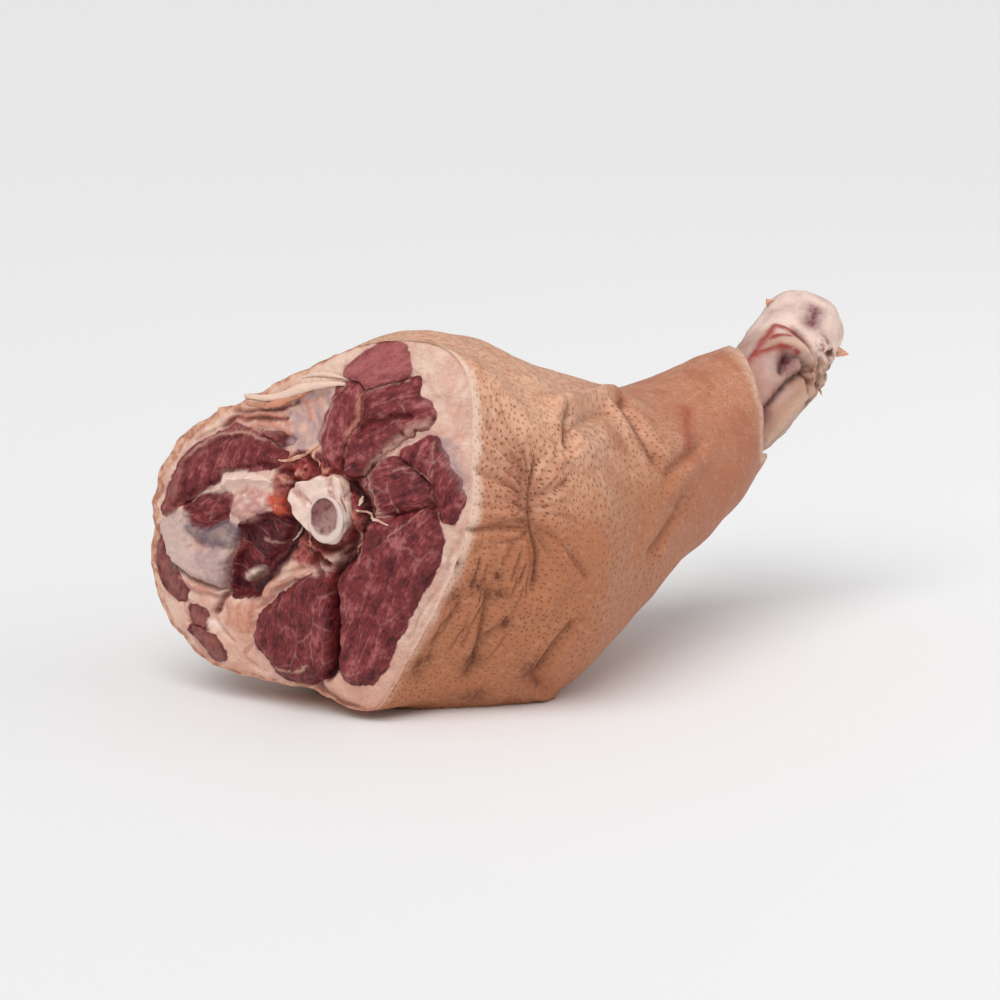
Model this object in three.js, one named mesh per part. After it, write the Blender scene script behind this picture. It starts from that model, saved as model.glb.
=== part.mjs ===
// A raw leg of pork with its rind on. The leg lies on its side with the sawn butt face
// towards -X and the bared end of the shank bone towards +X.
// Millimetres, +Z up, origin on the table under the middle of the leg.
import * as THREE from "three";

// Sections along the leg, evenly counted from the butt (0) to the cuff (1) where the rind ends
// x, y, z of the middle, half across, half up, roll, pitch, yaw in degrees
const LEG_SECTIONS = [
  [-196, 6, 117, 96, 127, 47, -5, 26],
  [-159, 0, 112, 104, 124, 40, -3, 20],
  [-118, 0, 106, 111, 121, 31, 0, 12],
  [-75, 0, 102, 111, 117, 20, 4, 5],
  [-27, 3, 106, 95, 99, 10, 11, 0],
  [25, 5, 115, 75, 77, 4, 19, 0],
  [80, 4, 125, 57, 55, 0, 26, 4],
  [150, 2, 148, 44, 46, 0, 5, -25],
];
const SECTION_POWER = 2.15; // 2 is an ellipse, more is squarer
const LEG_LENGTH = 353; // along the middle line

// Outline of the butt face, as radii every 20 degrees from the top towards the near side (-Y)
const BUTT_RADII = [97, 119, 138, 116, 102, 93, 91, 98, 116, 102, 105, 120, 126, 121, 116, 104, 91, 88];
const BUTT_REACH = 0.28; // share of the length in which that outline turns into the plain sections
const BUTT_DOME = 12; // how far the middle of the face stands out

// Fat under the rind
const FAT_AT_BUTT = [12, 7, 9, 6, 8, 7, 7, 9, 9, 5, 12, 14]; // depth every 30 degrees
const FAT_AT_SHANK = 7;
const FAT_LEAST = 2; // fat left between a fold and the lean
const LEAN_END = 0.86; // share of the length where the lean stops short of the cuff
const CLEARANCE = 0.5; // between neighbouring solids
const FLAT_UNDER = 1; // rind lower than this lies flat on the table

// The cuff, where the rind stands off the bone
const CUFF_RIND = 4.5;
const CUFF_FLOOR = 0.93; // share of the length down to which the gap is open

// Folds and creases in the rind: depth (a ridge is below 0), half width, points as share of the length
// and angle
const RIND_FOLDS = [
  { depth: 7, half: 11, line: [[0.2, 60], [0.17, 74], [0.19, 88], [0.22, 100]] }, // flank crease
  { depth: 3, half: 8, line: [[0.18, 70], [0.1, 65], [0.02, 67]] }, // wrinkle to the rim
  { depth: 4, half: 8, line: [[0, 83], [0.1, 83]] }, // short crease in the rim
  { depth: 4, half: 10, line: [[0.46, 41], [0.37, 52], [0.33, 59]] }, // upright fold on the back
  { depth: -6, half: 8, line: [[0.41, 42], [0.55, 36], [0.68, 30], [0.78, 20]] }, // ledge over the hip
  { depth: 4, half: 11, line: [[0.75, 25], [0.71, 47], [0.69, 64]] }, // neck of the shank
  { depth: 4, half: 12, line: [[0.8, 70], [0.69, 87], [0.58, 93]] }, // slack fold under the shank
  { depth: 4, half: 10, line: [[0.12, 108], [0.13, 120], [0.15, 134]] }, // low crease by the rim
  { depth: 4, half: 10, line: [[0.25, 124], [0.31, 130], [0.36, 138]] }, // fold above the table
];

// Forms on the butt face: how far each swells, and its outline across (towards the near side) and up
const FACE_FORMS = {
  topLobe: { swell: 3, outline: [[19, 89], [40, 107], [55, 108], [61, 92], [35, 82]] },
  narrowWedge: { swell: 3, outline: [[25, 85], [12, 75], [8, 45], [18, 34], [28, 66], [31, 80]] },
  upperLobe: { swell: 4, outline: [[36, 80], [67, 88], [79, 75], [56, 54], [30, 29], [23, 36], [30, 62]] },
  rightLobe: { swell: 3, outline: [[59, 46], [76, 58], [92, 55], [98, 26], [93, 8], [78, 30]] },
  middleLobe: { swell: 3, outline: [[42, 37], [60, 43], [79, 20], [68, 12], [53, 8], [41, 20]] },
  bigMuscle: { swell: 6, outline: [[34, -5], [78, 16], [84, -10], [56, -74], [34, -92], [21, -30]] },
  lowMuscle: { swell: 5, outline: [[-36, -74], [-18, -46], [18, -29], [21, -79], [-5, -98], [-27, -85]] },
  darkHollow: { swell: -8, outline: [[-45, -8], [-22, 8], [-11, -3], [-26, -30], [-40, -38], [-55, -38]] },
  arcMuscle: { swell: 4, outline: [[-106, 0], [-89, 33], [-46, 55], [-18, 45], [-45, 30], [-80, 10]] },
  leftOval: { swell: -3, outline: [[-91, 0], [-78, 8], [-58, 13], [-54, 6], [-70, -6], [-86, -7]] },
  silverSkin: { swell: -4, outline: [[-25, 73], [9, 82], [6, 50], [-13, 38], [-23, 58]] },
  cartilage: { swell: 5, outline: [[-110, -10], [-55, -6], [-48, -18], [-60, -46], [-99, -36]] },
  whiteRib: { swell: 5, outline: [[-61, 26], [-23, 32], [-12, 12], [-41, 9], [-75, 10]] },
};
const FORM_EDGE = 9; // width over which a form rises from its seam

// Aitch bone in the face: across, up, height over the butt plane, half wide, half tall
const AITCH_SECTIONS = [
  [6, 14, -60, 12, 13],
  [6, 14, -30, 15, 16],
  [6, 13, -6, 19, 19],
  [7, 12, 5, 21, 20],
  [9, 11, 13, 19, 19],
  [17, 6, 18, 12, 14],
];
const AITCH_MOUTH = 0.6; // share of the bone that lies in the lean
const AITCH_CLEFT = 2; // gap round the bone at the lean's surface
const MARROW_SHARE = 0.72;
const MARROW_DEPTH = 1;

// Shank bone, from inside the lean to the knob at the hock: x, y, z, half across, half up
const SHANK_SECTIONS = [
  [40, 5, 119, 12, 12],
  [80, 5, 127, 19, 19],
  [120, 3, 136, 23, 24],
  [155, 3, 147, 27, 28],
  [182, 9, 165, 30, 32],
  [208, 15, 185, 30, 32],
  [225, 20, 200, 30, 29],
];
const SHANK_TIP = 20; // height of the rounded end over the last section
const SHANK_TIP_RINGS = 5;
const SHANK_LEAN = 0.3; // share of the bone that lies in the lean
const SHANK_FLOOR = 0.4; // share of the bone down to which the cuff is open

// Furrows in the bared shank: depth, half width, points as share of the bone and angle
const SHANK_FURROWS = [
  { depth: 6, half: 7, line: [[0.5, 68], [0.62, 68], [0.71, 79]] }, // between bone and tendon
  { depth: 5, half: 7, line: [[0.7, 43], [0.63, 60]] }, // pit at the joint
  { depth: 3, half: 6, line: [[0.63, 2], [0.7, 6], [0.78, 12]] }, // red streak
];
const SHANK_LENGTH = 220;
const SHANK_SOCKET = 4; // how far the lean's socket reaches past the bone

// Numbers of rings and sides
const SIDES = 56;
const BONE_SIDES = 28;
const SKIN_RINGS = 40;
const FACE_RINGS = 13;
const CORE_RINGS = 9;
const BONE_RINGS = 20;
const FULL_TURN = 2 * Math.PI;

const mix = THREE.MathUtils.lerp;
const smooth = THREE.MathUtils.smoothstep;
const radians = THREE.MathUtils.degToRad;

// Smooth curve through evenly counted values, at a place counted in steps
function through(valueAt, place) {
  const step = Math.floor(place);
  const w = place - step;
  const [a, b, c, d] = [-1, 0, 1, 2].map((k) => valueAt(step + k));
  return b + 0.5 * w * (c - a + w * (2 * a - 5 * b + 4 * c - d + w * (3 * (b - c) + d - a)));
}

function aroundRing(values, angle) {
  const count = values.length;
  return through((k) => values[(k + count) % count], (angle / FULL_TURN) * count);
}

function alongRows(rows, share) {
  const last = rows.length - 1;
  const place = Math.min(share * last, last - 1e-9);
  const valueAt = (k, column) => {
    if (k < 0) return 2 * rows[0][column] - rows[1][column];
    if (k > last) return 2 * rows[last][column] - rows[last - 1][column];
    return rows[k][column];
  };
  return rows[0].map((_, column) => through((k) => valueAt(k, column), place));
}

// Place, directions and half sizes of the leg's section at a share of its length
function legSection(share) {
  const [x, y, z, across, up, roll, pitch, yaw] = alongRows(LEG_SECTIONS, share);
  const turn = radians(yaw);
  const rise = radians(pitch);
  const near = new THREE.Vector3(Math.sin(turn), -Math.cos(turn), 0);
  const flat = new THREE.Vector3(Math.cos(turn), Math.sin(turn), 0);
  const along = flat.multiplyScalar(Math.cos(rise)).setZ(Math.sin(rise));
  const upward = near.clone().cross(along);
  return { middle: new THREE.Vector3(x, y, z), near, along, upward, across, up, roll: radians(roll) };
}

// Depth of a set of furrows at a place given in millimetres by a measuring function
function furrowDepth(furrows, toMillimetres, share, angle) {
  const here = toMillimetres(share, THREE.MathUtils.radToDeg(angle));
  const spot = new THREE.Vector3(here[0], here[1], 0);
  const nearest = new THREE.Vector3();
  let depth = 0;
  for (const furrow of furrows) {
    const points = furrow.line.map((p) => new THREE.Vector3(...toMillimetres(p[0], p[1]), 0));
    let distance = Infinity;
    for (let k = 1; k < points.length; k += 1) {
      new THREE.Line3(points[k - 1], points[k]).closestPointToPoint(spot, true, nearest);
      distance = Math.min(distance, nearest.distanceTo(spot));
    }
    depth += furrow.depth * Math.exp(-((distance / furrow.half) ** 2));
  }
  return depth;
}

function sectionRadius(section, angle) {
  const wide = Math.abs(Math.sin(angle - section.roll)) / section.across;
  const tall = Math.abs(Math.cos(angle - section.roll)) / section.up;
  return (wide ** SECTION_POWER + tall ** SECTION_POWER) ** (-1 / SECTION_POWER);
}

function legRadius(share, angle) {
  const plain = sectionRadius(legSection(share), angle);
  return mix(aroundRing(BUTT_RADII, angle), plain, smooth(share, 0, BUTT_REACH));
}

function fatDepth(share, angle) {
  return mix(aroundRing(FAT_AT_BUTT, angle), FAT_AT_SHANK, smooth(share, 0, LEAN_END));
}

function foldDepth(share, angle) {
  const girth = sectionRadius(legSection(share), angle);
  const toMillimetres = (s, degrees) => [s * LEG_LENGTH, radians(degrees) * girth];
  const depth = furrowDepth(RIND_FOLDS, toMillimetres, share, angle);
  return Math.min(depth, fatDepth(share, angle) - FAT_LEAST);
}

// Point of the leg at a depth under the unfolded rind, kept as far above the table
function legPoint(share, angle, depth) {
  const section = legSection(share);
  const radius = legRadius(share, angle) - depth;
  const point = section.middle.clone();
  point.addScaledVector(section.near, radius * Math.sin(angle));
  point.addScaledVector(section.upward, radius * Math.cos(angle));
  point.z = Math.max(point.z, depth);
  return point;
}

function rindPoint(share, angle) {
  const point = legPoint(share, angle, foldDepth(share, angle));
  return point.setZ(point.z < FLAT_UNDER ? 0 : point.z);
}

// Distance from a place to an outline, negative inside it
function outlineDistance(outline, across, up) {
  let squared = Infinity;
  let inside = false;
  outline.forEach(([x1, y1], k) => {
    const [x2, y2] = outline[(k + 1) % outline.length];
    const [dx, dy] = [x2 - x1, y2 - y1];
    const t = THREE.MathUtils.clamp(((across - x1) * dx + (up - y1) * dy) / (dx * dx + dy * dy), 0, 1);
    squared = Math.min(squared, (across - x1 - t * dx) ** 2 + (up - y1 - t * dy) ** 2);
    if (y1 > up !== y2 > up && across < x1 + ((up - y1) / dy) * dx) inside = !inside;
  });
  return inside ? -Math.sqrt(squared) : Math.sqrt(squared);
}

// Height of the cut face over the butt plane
function faceHeight(across, up) {
  const angle = (Math.atan2(across, up) + FULL_TURN) % FULL_TURN;
  const reach = Math.hypot(across, up) / aroundRing(BUTT_RADII, angle);
  let height = BUTT_DOME * (1 - reach * reach);
  for (const { swell, outline } of Object.values(FACE_FORMS)) {
    height += swell * smooth(-outlineDistance(outline, across, up), 0, FORM_EDGE);
  }
  return Math.max(height, 0);
}

const BUTT = legSection(0);

function buttPoint(across, up, height) {
  const point = BUTT.middle.clone();
  point.addScaledVector(BUTT.near, across);
  point.addScaledVector(BUTT.upward, up);
  return point.addScaledVector(BUTT.along, -height);
}

// Place on the butt face where the skin lies, at a depth under the rind
function buttPlace(angle, depth) {
  const radius = legRadius(0, angle) - depth;
  return [radius * Math.sin(angle), radius * Math.cos(angle)];
}

function facePoint(across, up) {
  return buttPoint(across, up, faceHeight(across, up));
}

function aitchPlace(row, angle, grow) {
  const [across, up, , wide, tall] = row;
  return [across + (wide + grow) * Math.sin(angle), up + (tall + grow) * Math.cos(angle)];
}

function aitchPoint(row, angle, grow) {
  return buttPoint(...aitchPlace(row, angle, grow), row[2]);
}

function shankMiddle(share) {
  return new THREE.Vector3(...alongRows(SHANK_SECTIONS, share).slice(0, 3));
}

// Point of the shank bone, grown by some clearance
function shankPoint(share, angle, grow) {
  const [x, y, z, across, up] = alongRows(SHANK_SECTIONS, share);
  const ahead = shankMiddle(Math.min(share + 0.02, 1));
  const along = ahead.sub(shankMiddle(Math.max(share - 0.02, 0))).normalize();
  const near = along.clone().cross(new THREE.Vector3(0, 0, 1)).normalize();
  const upward = near.clone().cross(along);
  const toMillimetres = (s, degrees) => [s * SHANK_LENGTH, radians(degrees) * up];
  const furrow = furrowDepth(SHANK_FURROWS, toMillimetres, share, angle);
  const point = new THREE.Vector3(x, y, z);
  point.addScaledVector(near, (across + grow - furrow) * Math.sin(angle));
  return point.addScaledVector(upward, (up + grow - furrow) * Math.cos(angle));
}

function ringOf(sides, pointAt) {
  return Array.from({ length: sides }, (_, k) => pointAt((k / sides) * FULL_TURN));
}

function shares(count, from, to) {
  return Array.from({ length: count + 1 }, (_, k) => mix(from, to, k / count));
}

// Closed body over rings of points: a loop joins the last ring to the first, else both ends are capped
function ringSolid(rings, looped) {
  const sides = rings[0].length;
  const points = rings.flat();
  const triangles = [];
  const spans = looped ? rings.length : rings.length - 1;
  for (let r = 0; r < spans; r += 1) {
    for (let k = 0; k < sides; k += 1) {
      const here = r * sides;
      const next = ((r + 1) % rings.length) * sides;
      const turn = (k + 1) % sides;
      const [a, b, c, d] = [here + k, here + turn, next + turn, next + k];
      const split = points[a].distanceTo(points[c]) < points[b].distanceTo(points[d]);
      triangles.push(...(split ? [a, b, c, a, c, d] : [a, b, d, b, c, d]));
    }
  }
  if (!looped) {
    for (const [start, flip] of [[0, false], [(rings.length - 1) * sides, true]]) {
      const cap = points.length;
      const ring = points.slice(start, start + sides);
      points.push(ring.reduce((sum, p) => sum.add(p), new THREE.Vector3()).divideScalar(sides));
      for (let k = 0; k < sides; k += 1) {
        const turn = (k + 1) % sides;
        triangles.push(cap, start + (flip ? k : turn), start + (flip ? turn : k));
      }
    }
  }
  const geometry = new THREE.BufferGeometry().setFromPoints(points);
  geometry.setIndex(triangles);
  geometry.computeVertexNormals();
  return geometry;
}

// Fat layer: over the rind, round the cuff's edge, down to the bone and back along the lean to the face
function fatLayer() {
  const ring = (pointAt) => ringOf(SIDES, pointAt);
  const rind = shares(SKIN_RINGS, 0, 1).map((s) => ring((a) => rindPoint(s, a)));
  const cuff = [
    ring((a) => legPoint(1, a, CUFF_RIND)),
    ring((a) => legPoint(mix(CUFF_FLOOR, 1, 0.4), a, 1.5 * CUFF_RIND)),
    ring((a) => legPoint(CUFF_FLOOR, a, 2.5 * CUFF_RIND)),
  ];
  const bore = shares(2, SHANK_FLOOR, SHANK_LEAN).map((s) => ring((a) => shankPoint(s, a, CLEARANCE)));
  const bed = shares(CORE_RINGS, LEAN_END, 0).map((s) => ring((a) => legPoint(s, a, fatDepth(s, a))));
  const face = [1, 0.5].map((f) => ring((a) => facePoint(...buttPlace(a, f * fatDepth(0, a)))));
  return ringSolid([...rind, ...cuff, ...bore, ...bed, ...face], true);
}

// Lean: out of the aitch bone's socket, over the face, along the fat and into the shank bone's socket
function lean() {
  const ring = (pointAt) => ringOf(SIDES, pointAt);
  const rim = (a) => buttPlace(a, fatDepth(0, a) + CLEARANCE);
  const mouth = (a) => aitchPlace(alongRows(AITCH_SECTIONS, AITCH_MOUTH), a, AITCH_CLEFT);
  const rows = shares(5, 0, AITCH_MOUTH - 0.1).map((s) => alongRows(AITCH_SECTIONS, s));
  rows[0][2] -= CLEARANCE;
  const socket = rows.map((row) => ring((a) => aitchPoint(row, a, CLEARANCE)));
  const face = shares(FACE_RINGS, 0, 1).map((f) =>
    ring((a) => {
      const [inner, outer] = [mouth(a), rim(a)];
      return facePoint(mix(inner[0], outer[0], f), mix(inner[1], outer[1], f));
    }),
  );
  const side = shares(CORE_RINGS, 0, LEAN_END - CLEARANCE / LEG_LENGTH).map((s) =>
    ring((a) => legPoint(s, a, fatDepth(s, a) + CLEARANCE)),
  );
  const bore = shares(4, SHANK_LEAN - 0.01, 0).map((s) => ring((a) => shankPoint(s, a, CLEARANCE)));
  const end = ring((a) => shankPoint(0, a, CLEARANCE).setX(SHANK_SECTIONS[0][0] - SHANK_SOCKET));
  return ringSolid([...socket, ...face, ...side, ...bore, end], false);
}

// Aitch bone: a shaft in the lean that ends in a sawn knob with a sunken marrow
function aitchBone() {
  const rows = shares(10, 0, 1).map((s) => alongRows(AITCH_SECTIONS, s));
  const rings = rows.map((row) => ringOf(BONE_SIDES, (a) => aitchPoint(row, a, 0)));
  const [across, up, height, wide, tall] = AITCH_SECTIONS[AITCH_SECTIONS.length - 1];
  const marrow = [across, up, height, wide * MARROW_SHARE, tall * MARROW_SHARE];
  rings.push(ringOf(BONE_SIDES, (a) => aitchPoint(marrow, a, 0)));
  marrow[2] -= MARROW_DEPTH;
  rings.push(ringOf(BONE_SIDES, (a) => aitchPoint(marrow, a, -1)));
  return ringSolid(rings.reverse(), false);
}

// Shank bone: through the cuff up to the knob, which ends in a quarter round
function shankBone() {
  const rings = shares(BONE_RINGS, 0, 1).map((s) => ringOf(BONE_SIDES, (a) => shankPoint(s, a, 0)));
  const edge = rings[rings.length - 1];
  const middle = shankMiddle(1);
  const along = middle.clone().sub(shankMiddle(0.9)).normalize();
  for (let k = 1; k < SHANK_TIP_RINGS; k += 1) {
    const bend = (k / SHANK_TIP_RINGS) * (Math.PI / 2);
    const rise = along.clone().multiplyScalar(SHANK_TIP * Math.sin(bend));
    rings.push(edge.map((p) => middle.clone().lerp(p, Math.cos(bend)).add(rise)));
  }
  return ringSolid(rings, false);
}

function piece(name, geometry, color, roughness) {
  const finish = new THREE.MeshStandardMaterial({ color, roughness, metalness: 0 });
  const mesh = new THREE.Mesh(geometry, finish);
  mesh.name = name;
  return mesh;
}

const leg = new THREE.Group();
leg.name = "raw_pork_leg";
leg.add(piece("fat_and_rind", fatLayer(), 0xc48a68, 0.55));
leg.add(piece("lean", lean(), 0x7a3a3c, 0.45));
leg.add(piece("aitch_bone", aitchBone(), 0xe6cbbd, 0.5));
leg.add(piece("shank_bone", shankBone(), 0xd2b5a2, 0.5));

export default leg;
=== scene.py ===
"""A raw leg of pork: rind, fat, lean and bones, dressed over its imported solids."""

import itertools
import math
from collections import namedtuple

import bmesh
import bpy
import numpy as np
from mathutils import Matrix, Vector


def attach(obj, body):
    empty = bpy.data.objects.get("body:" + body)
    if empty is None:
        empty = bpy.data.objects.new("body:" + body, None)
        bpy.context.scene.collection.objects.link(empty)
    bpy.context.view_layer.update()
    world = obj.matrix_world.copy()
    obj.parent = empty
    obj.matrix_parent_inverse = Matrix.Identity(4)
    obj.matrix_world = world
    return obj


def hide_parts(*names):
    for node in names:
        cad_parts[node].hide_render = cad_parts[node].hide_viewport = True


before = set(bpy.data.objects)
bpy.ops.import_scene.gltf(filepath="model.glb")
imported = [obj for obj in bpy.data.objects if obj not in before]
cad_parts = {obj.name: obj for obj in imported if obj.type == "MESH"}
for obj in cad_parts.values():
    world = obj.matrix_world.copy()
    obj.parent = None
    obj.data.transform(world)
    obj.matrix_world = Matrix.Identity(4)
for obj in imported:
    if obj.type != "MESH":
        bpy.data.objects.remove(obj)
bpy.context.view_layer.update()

bl_info = {
    "name": "Raw pork leg",
    "version": (1, 0, 0),
    "blender": (4, 5, 0),
    "location": "View3D > Sidebar > Pork leg",
    "description": "Builds a raw leg of pork with its rind, cut face and bones",
    "category": "Add Mesh",
}

# The lists below are in millimetres and degrees, as in the part's source
MM = 0.001
FULL_TURN = 2 * math.pi
# Large primes that scatter the cells of the noise
CELL_PRIMES = (73856093, 19349663, 83492791)
MIX_PRIME = 1274126177

# Sections of the leg from the butt (0) to the cuff (1)
# x, y, z of the middle, half across, half up, roll, pitch, yaw
LEG_SECTIONS = [
    (-196, 6, 117, 96, 127, 47, -5, 26),
    (-159, 0, 112, 104, 124, 40, -3, 20),
    (-118, 0, 106, 111, 121, 31, 0, 12),
    (-75, 0, 102, 111, 117, 20, 4, 5),
    (-27, 3, 106, 95, 99, 10, 11, 0),
    (25, 5, 115, 75, 77, 4, 19, 0),
    (80, 4, 125, 57, 55, 0, 26, 4),
    (150, 2, 148, 44, 46, 0, 5, -25),
]
# Roundness of the sections, length along the leg and mean radius of the butt
SECTION_POWER = 2.15
LEG_LENGTH = 353
MEAN_RADIUS = 110
# Radii of the butt's rim from the top by the near side, the share over which they pass into the sections, and
# how far the cut face swells in its middle
BUTT_RADII = (97, 119, 138, 116, 102, 93, 91, 98, 116, 102, 105, 120, 126, 121, 116, 104, 91, 88)
BUTT_REACH = 0.28
BUTT_DOME = 12
# Fat under the rind: thickness round the butt and at the shank
FAT_AT_BUTT = (12, 7, 9, 6, 8, 7, 7, 9, 9, 5, 12, 14)
FAT_AT_SHANK = 7
# Walls of the fat and the lean: shares where they start and end, rings of each, and the gaps between them
WALL_START = 0.03
LEAN_END = 0.86
END_GAP = 0.01
FAT_WALL_RINGS = 9
LEAN_WALL_RINGS = 7
CLEARANCE = 0.5
# The rind is flat on the table where it comes this near
FLAT_UNDER = 1
# Cuff: thickness of its rind, its edge as (share past the end, depth), share of its floor, wave and tongue
CUFF_RIND = 4.5
CUFF_EDGE = ((0.004, 1.2), (0.004, 3.2), (0, CUFF_RIND))
CUFF_FLOOR = 0.93
CUFF_WAVE = 0.012
CUFF_TONGUE = 0.03
CUFF_TONGUE_ANGLE = 140
CUFF_TONGUE_HALF = 11.459
# Inside of the cuff: share of the way from its floor to its end, depth in thicknesses of the rind
CUFF_WALL = ((0.4, 1.5), (0, 2.5))
# Shares of the net over which the cuff's edge turns pale
CUFF_PALE = (0.98, 1)
# Shares where the rind starts, where its relief is whole and where the cream fat on it ends, and how much
# relief is left at the rim
RIM_SHARE = 0.012
RIM_FADE = 0.05
BLEED_END = 0.06
RIM_RELIEF = 0.4
# Where the rind's net is finest, round the leg in radians and along it: place, half width, how much finer
FINE_ROUND = (math.radians(80), 0.9, 1.5)
FINE_ALONG = (0.12, 0.15, 1.2)
# Rings of cut fat from the lean to the rim as shares of the way in, depth of the rim, how far the fat reaches
# over the lean's edge and how far it lies under it there
FAT_FACE_SHARES = (*np.linspace(1, 0.1, 16), 0.04, 0.01)
FAT_FACE_RIM = 0.3
FAT_OVERLAP = 1.5
FAT_SUNK = 0.6
# Round the rim of the cut face from the top by the near side: width of the rind's edge, how ragged it is
# and how far the cream fat shows on over the rind
RIND_EDGE = (2.5, -2, -2, -2, -1, 0.6, 2.5, 3, 5, 8, 7, 4)
RAGGED_RIM = (0.8, 0.2, 0, 0, 0, 0.3, 0.8, 1, 1, 1, 1, 1)
FAT_OVER_RIM = (0.6, 1, 1, 0.9, 0.6, 0.4, 0.2, 0.1, 0.1, 0.1, 0.1, 0.3)

# Folds of the rind: depth, half width, how dark their painted shade is, line of (share of the length, angle)
RIND_FOLDS = [
    (8, 9, 1.0, [(0.2, 63), (0.175, 70), (0.167, 78), (0.175, 85), (0.195, 92), (0.207, 101)]),
    (3, 7, 0.3, [(0.165, 76), (0.1, 70), (0.02, 67)]),
    (2.5, 3, 0.6, [(0, 86), (0.045, 86), (0.09, 84.5), (0.135, 84)]),
    (5, 5, 0.8, [(0.427, 44), (0.372, 50), (0.35, 54), (0.318, 59)]),
    (5, 5, 0.4, [(0.4, 51), (0.503, 46), (0.652, 40)]),
    (7, 6, 0.8, [(0.74, 30), (0.713, 36), (0.708, 44), (0.7, 53), (0.698, 61), (0.7, 68)]),
    (4, 7, 0.4, [(0.743, 92), (0.71, 96), (0.672, 100), (0.62, 103)]),
    (4, 5, 0.4, [(0.83, 66), (0.79, 70), (0.75, 73), (0.715, 76)]),
    (4, 5, 0.8, [(0.115, 108), (0.145, 123), (0.17, 136), (0.18, 144)]),
    (5, 6, 0.7, [(0.338, 114), (0.315, 123), (0.312, 135), (0.355, 142)]),
    (1.5, 3, 0.4, [(0.17, 82), (0.22, 86), (0.29, 92), (0.34, 97)]),
    (2, 3, 0.5, [(0.175, 74), (0.22, 72), (0.275, 69)]),
    (4, 8, 0.3, [(0.34, -58), (0.4, -76), (0.47, -98)]),
    (5, 7, 0.5, [(0.66, -35), (0.69, -64), (0.67, -96)]),
    (3, 7, 0.3, [(0.6, -88), (0.68, -112), (0.8, -124)]),
]
# A fold's depth shared out to its hollow, its sharp middle and its raised lips, how many half widths out the
# lips stand, and its limit as a share of the fat
FOLD_SHARES = (0.7, 0.4, 0.3)
FOLD_LIP = 1.9
FOLD_LIMIT = 0.8
# Half widths of a fold's sharp middle, of its painted shade line and of a wrinkle's painted shade line
FOLD_CORE = 2.4
FOLD_SHADE = 2
WRINKLE_SHADE = 1.1
# Fine wrinkles that run out from the flank crease: how many, shares where they end, angles at both ends
FLANK_CREASE = RIND_FOLDS[0][3]
FAN_TO_RIM = (28, (0.015, 0.1), (68, 85), (46, 92))
FAN_TO_SHANK = (6, (0.22, 0.29), (72, 84), (55, 100))
# Upright cracks low on the butt: how many, shares, angles and length
LOW_CRACKS = (30, (0.05, 0.2), (88, 130), 19)
WRINKLE_SEED = 7
# Swollen ridges of the rind: height, half width, line
RIND_RIDGES = [
    (7, 5, [(0.383, 44), (0.503, 39), (0.652, 32), (0.74, 26)]),
    (4.5, 4.5, [(0.795, 75), (0.763, 78), (0.728, 80), (0.7, 84)]),
    (3, 5, [(0.708, 99), (0.65, 106)]),
    (3.5, 5, [(0.265, 64), (0.372, 60), (0.515, 56), (0.61, 53)]),
    (3, 4, [(0.348, 144), (0.417, 148)]),
    (2, 4, [(0.02, 82), (0.08, 80.5), (0.13, 80)]),
]
# Brown stains of the rind: share, angle, size
RIND_STAINS = [
    (0.08, 106, 7),
    (0.048, 112, 6),
    (0.13, 108, 6),
    (0.175, 118, 5),
    (0.285, 132, 11),
    (0.058, 142, 9),
    (0.225, 150, 9),
    (0.165, 137, 8),
    (0.113, 101, 5),
    (0.015, 99, 5),
]
# Reddish patches of the rind: share, angle, size, and the red streak by the cuff with its half width
RIND_BLUSHES = [(0.12, 73, 32), (0.6, 54, 12), (0.71, 72, 15), (0.9, 80, 12), (0.04, 118, 14)]
RED_STREAK = [(0.865, 40), (0.833, 52), (0.802, 65)]
RED_STREAK_HALF = 4
# Soft unevenness of the rind: height, size of the bumps, seed
RIND_WAVES = ((2.6, 75, 1), (1.3, 28, 2), (0.4, 11, 3))
# Shares over which the rind turns smooth and flushed, and over which its pores turn wider
SHANK_SKIN = (0.62, 0.85)
PORE_TAPER = (0.3, 0.4)
# Pores: how scattered they are, and how much wider and how stretched they stand on the thin end
PORE_SCATTER = 0.75
PORE_GROWTH = 1.35
PORE_STRETCH = (0.8, 1, 1)

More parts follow.
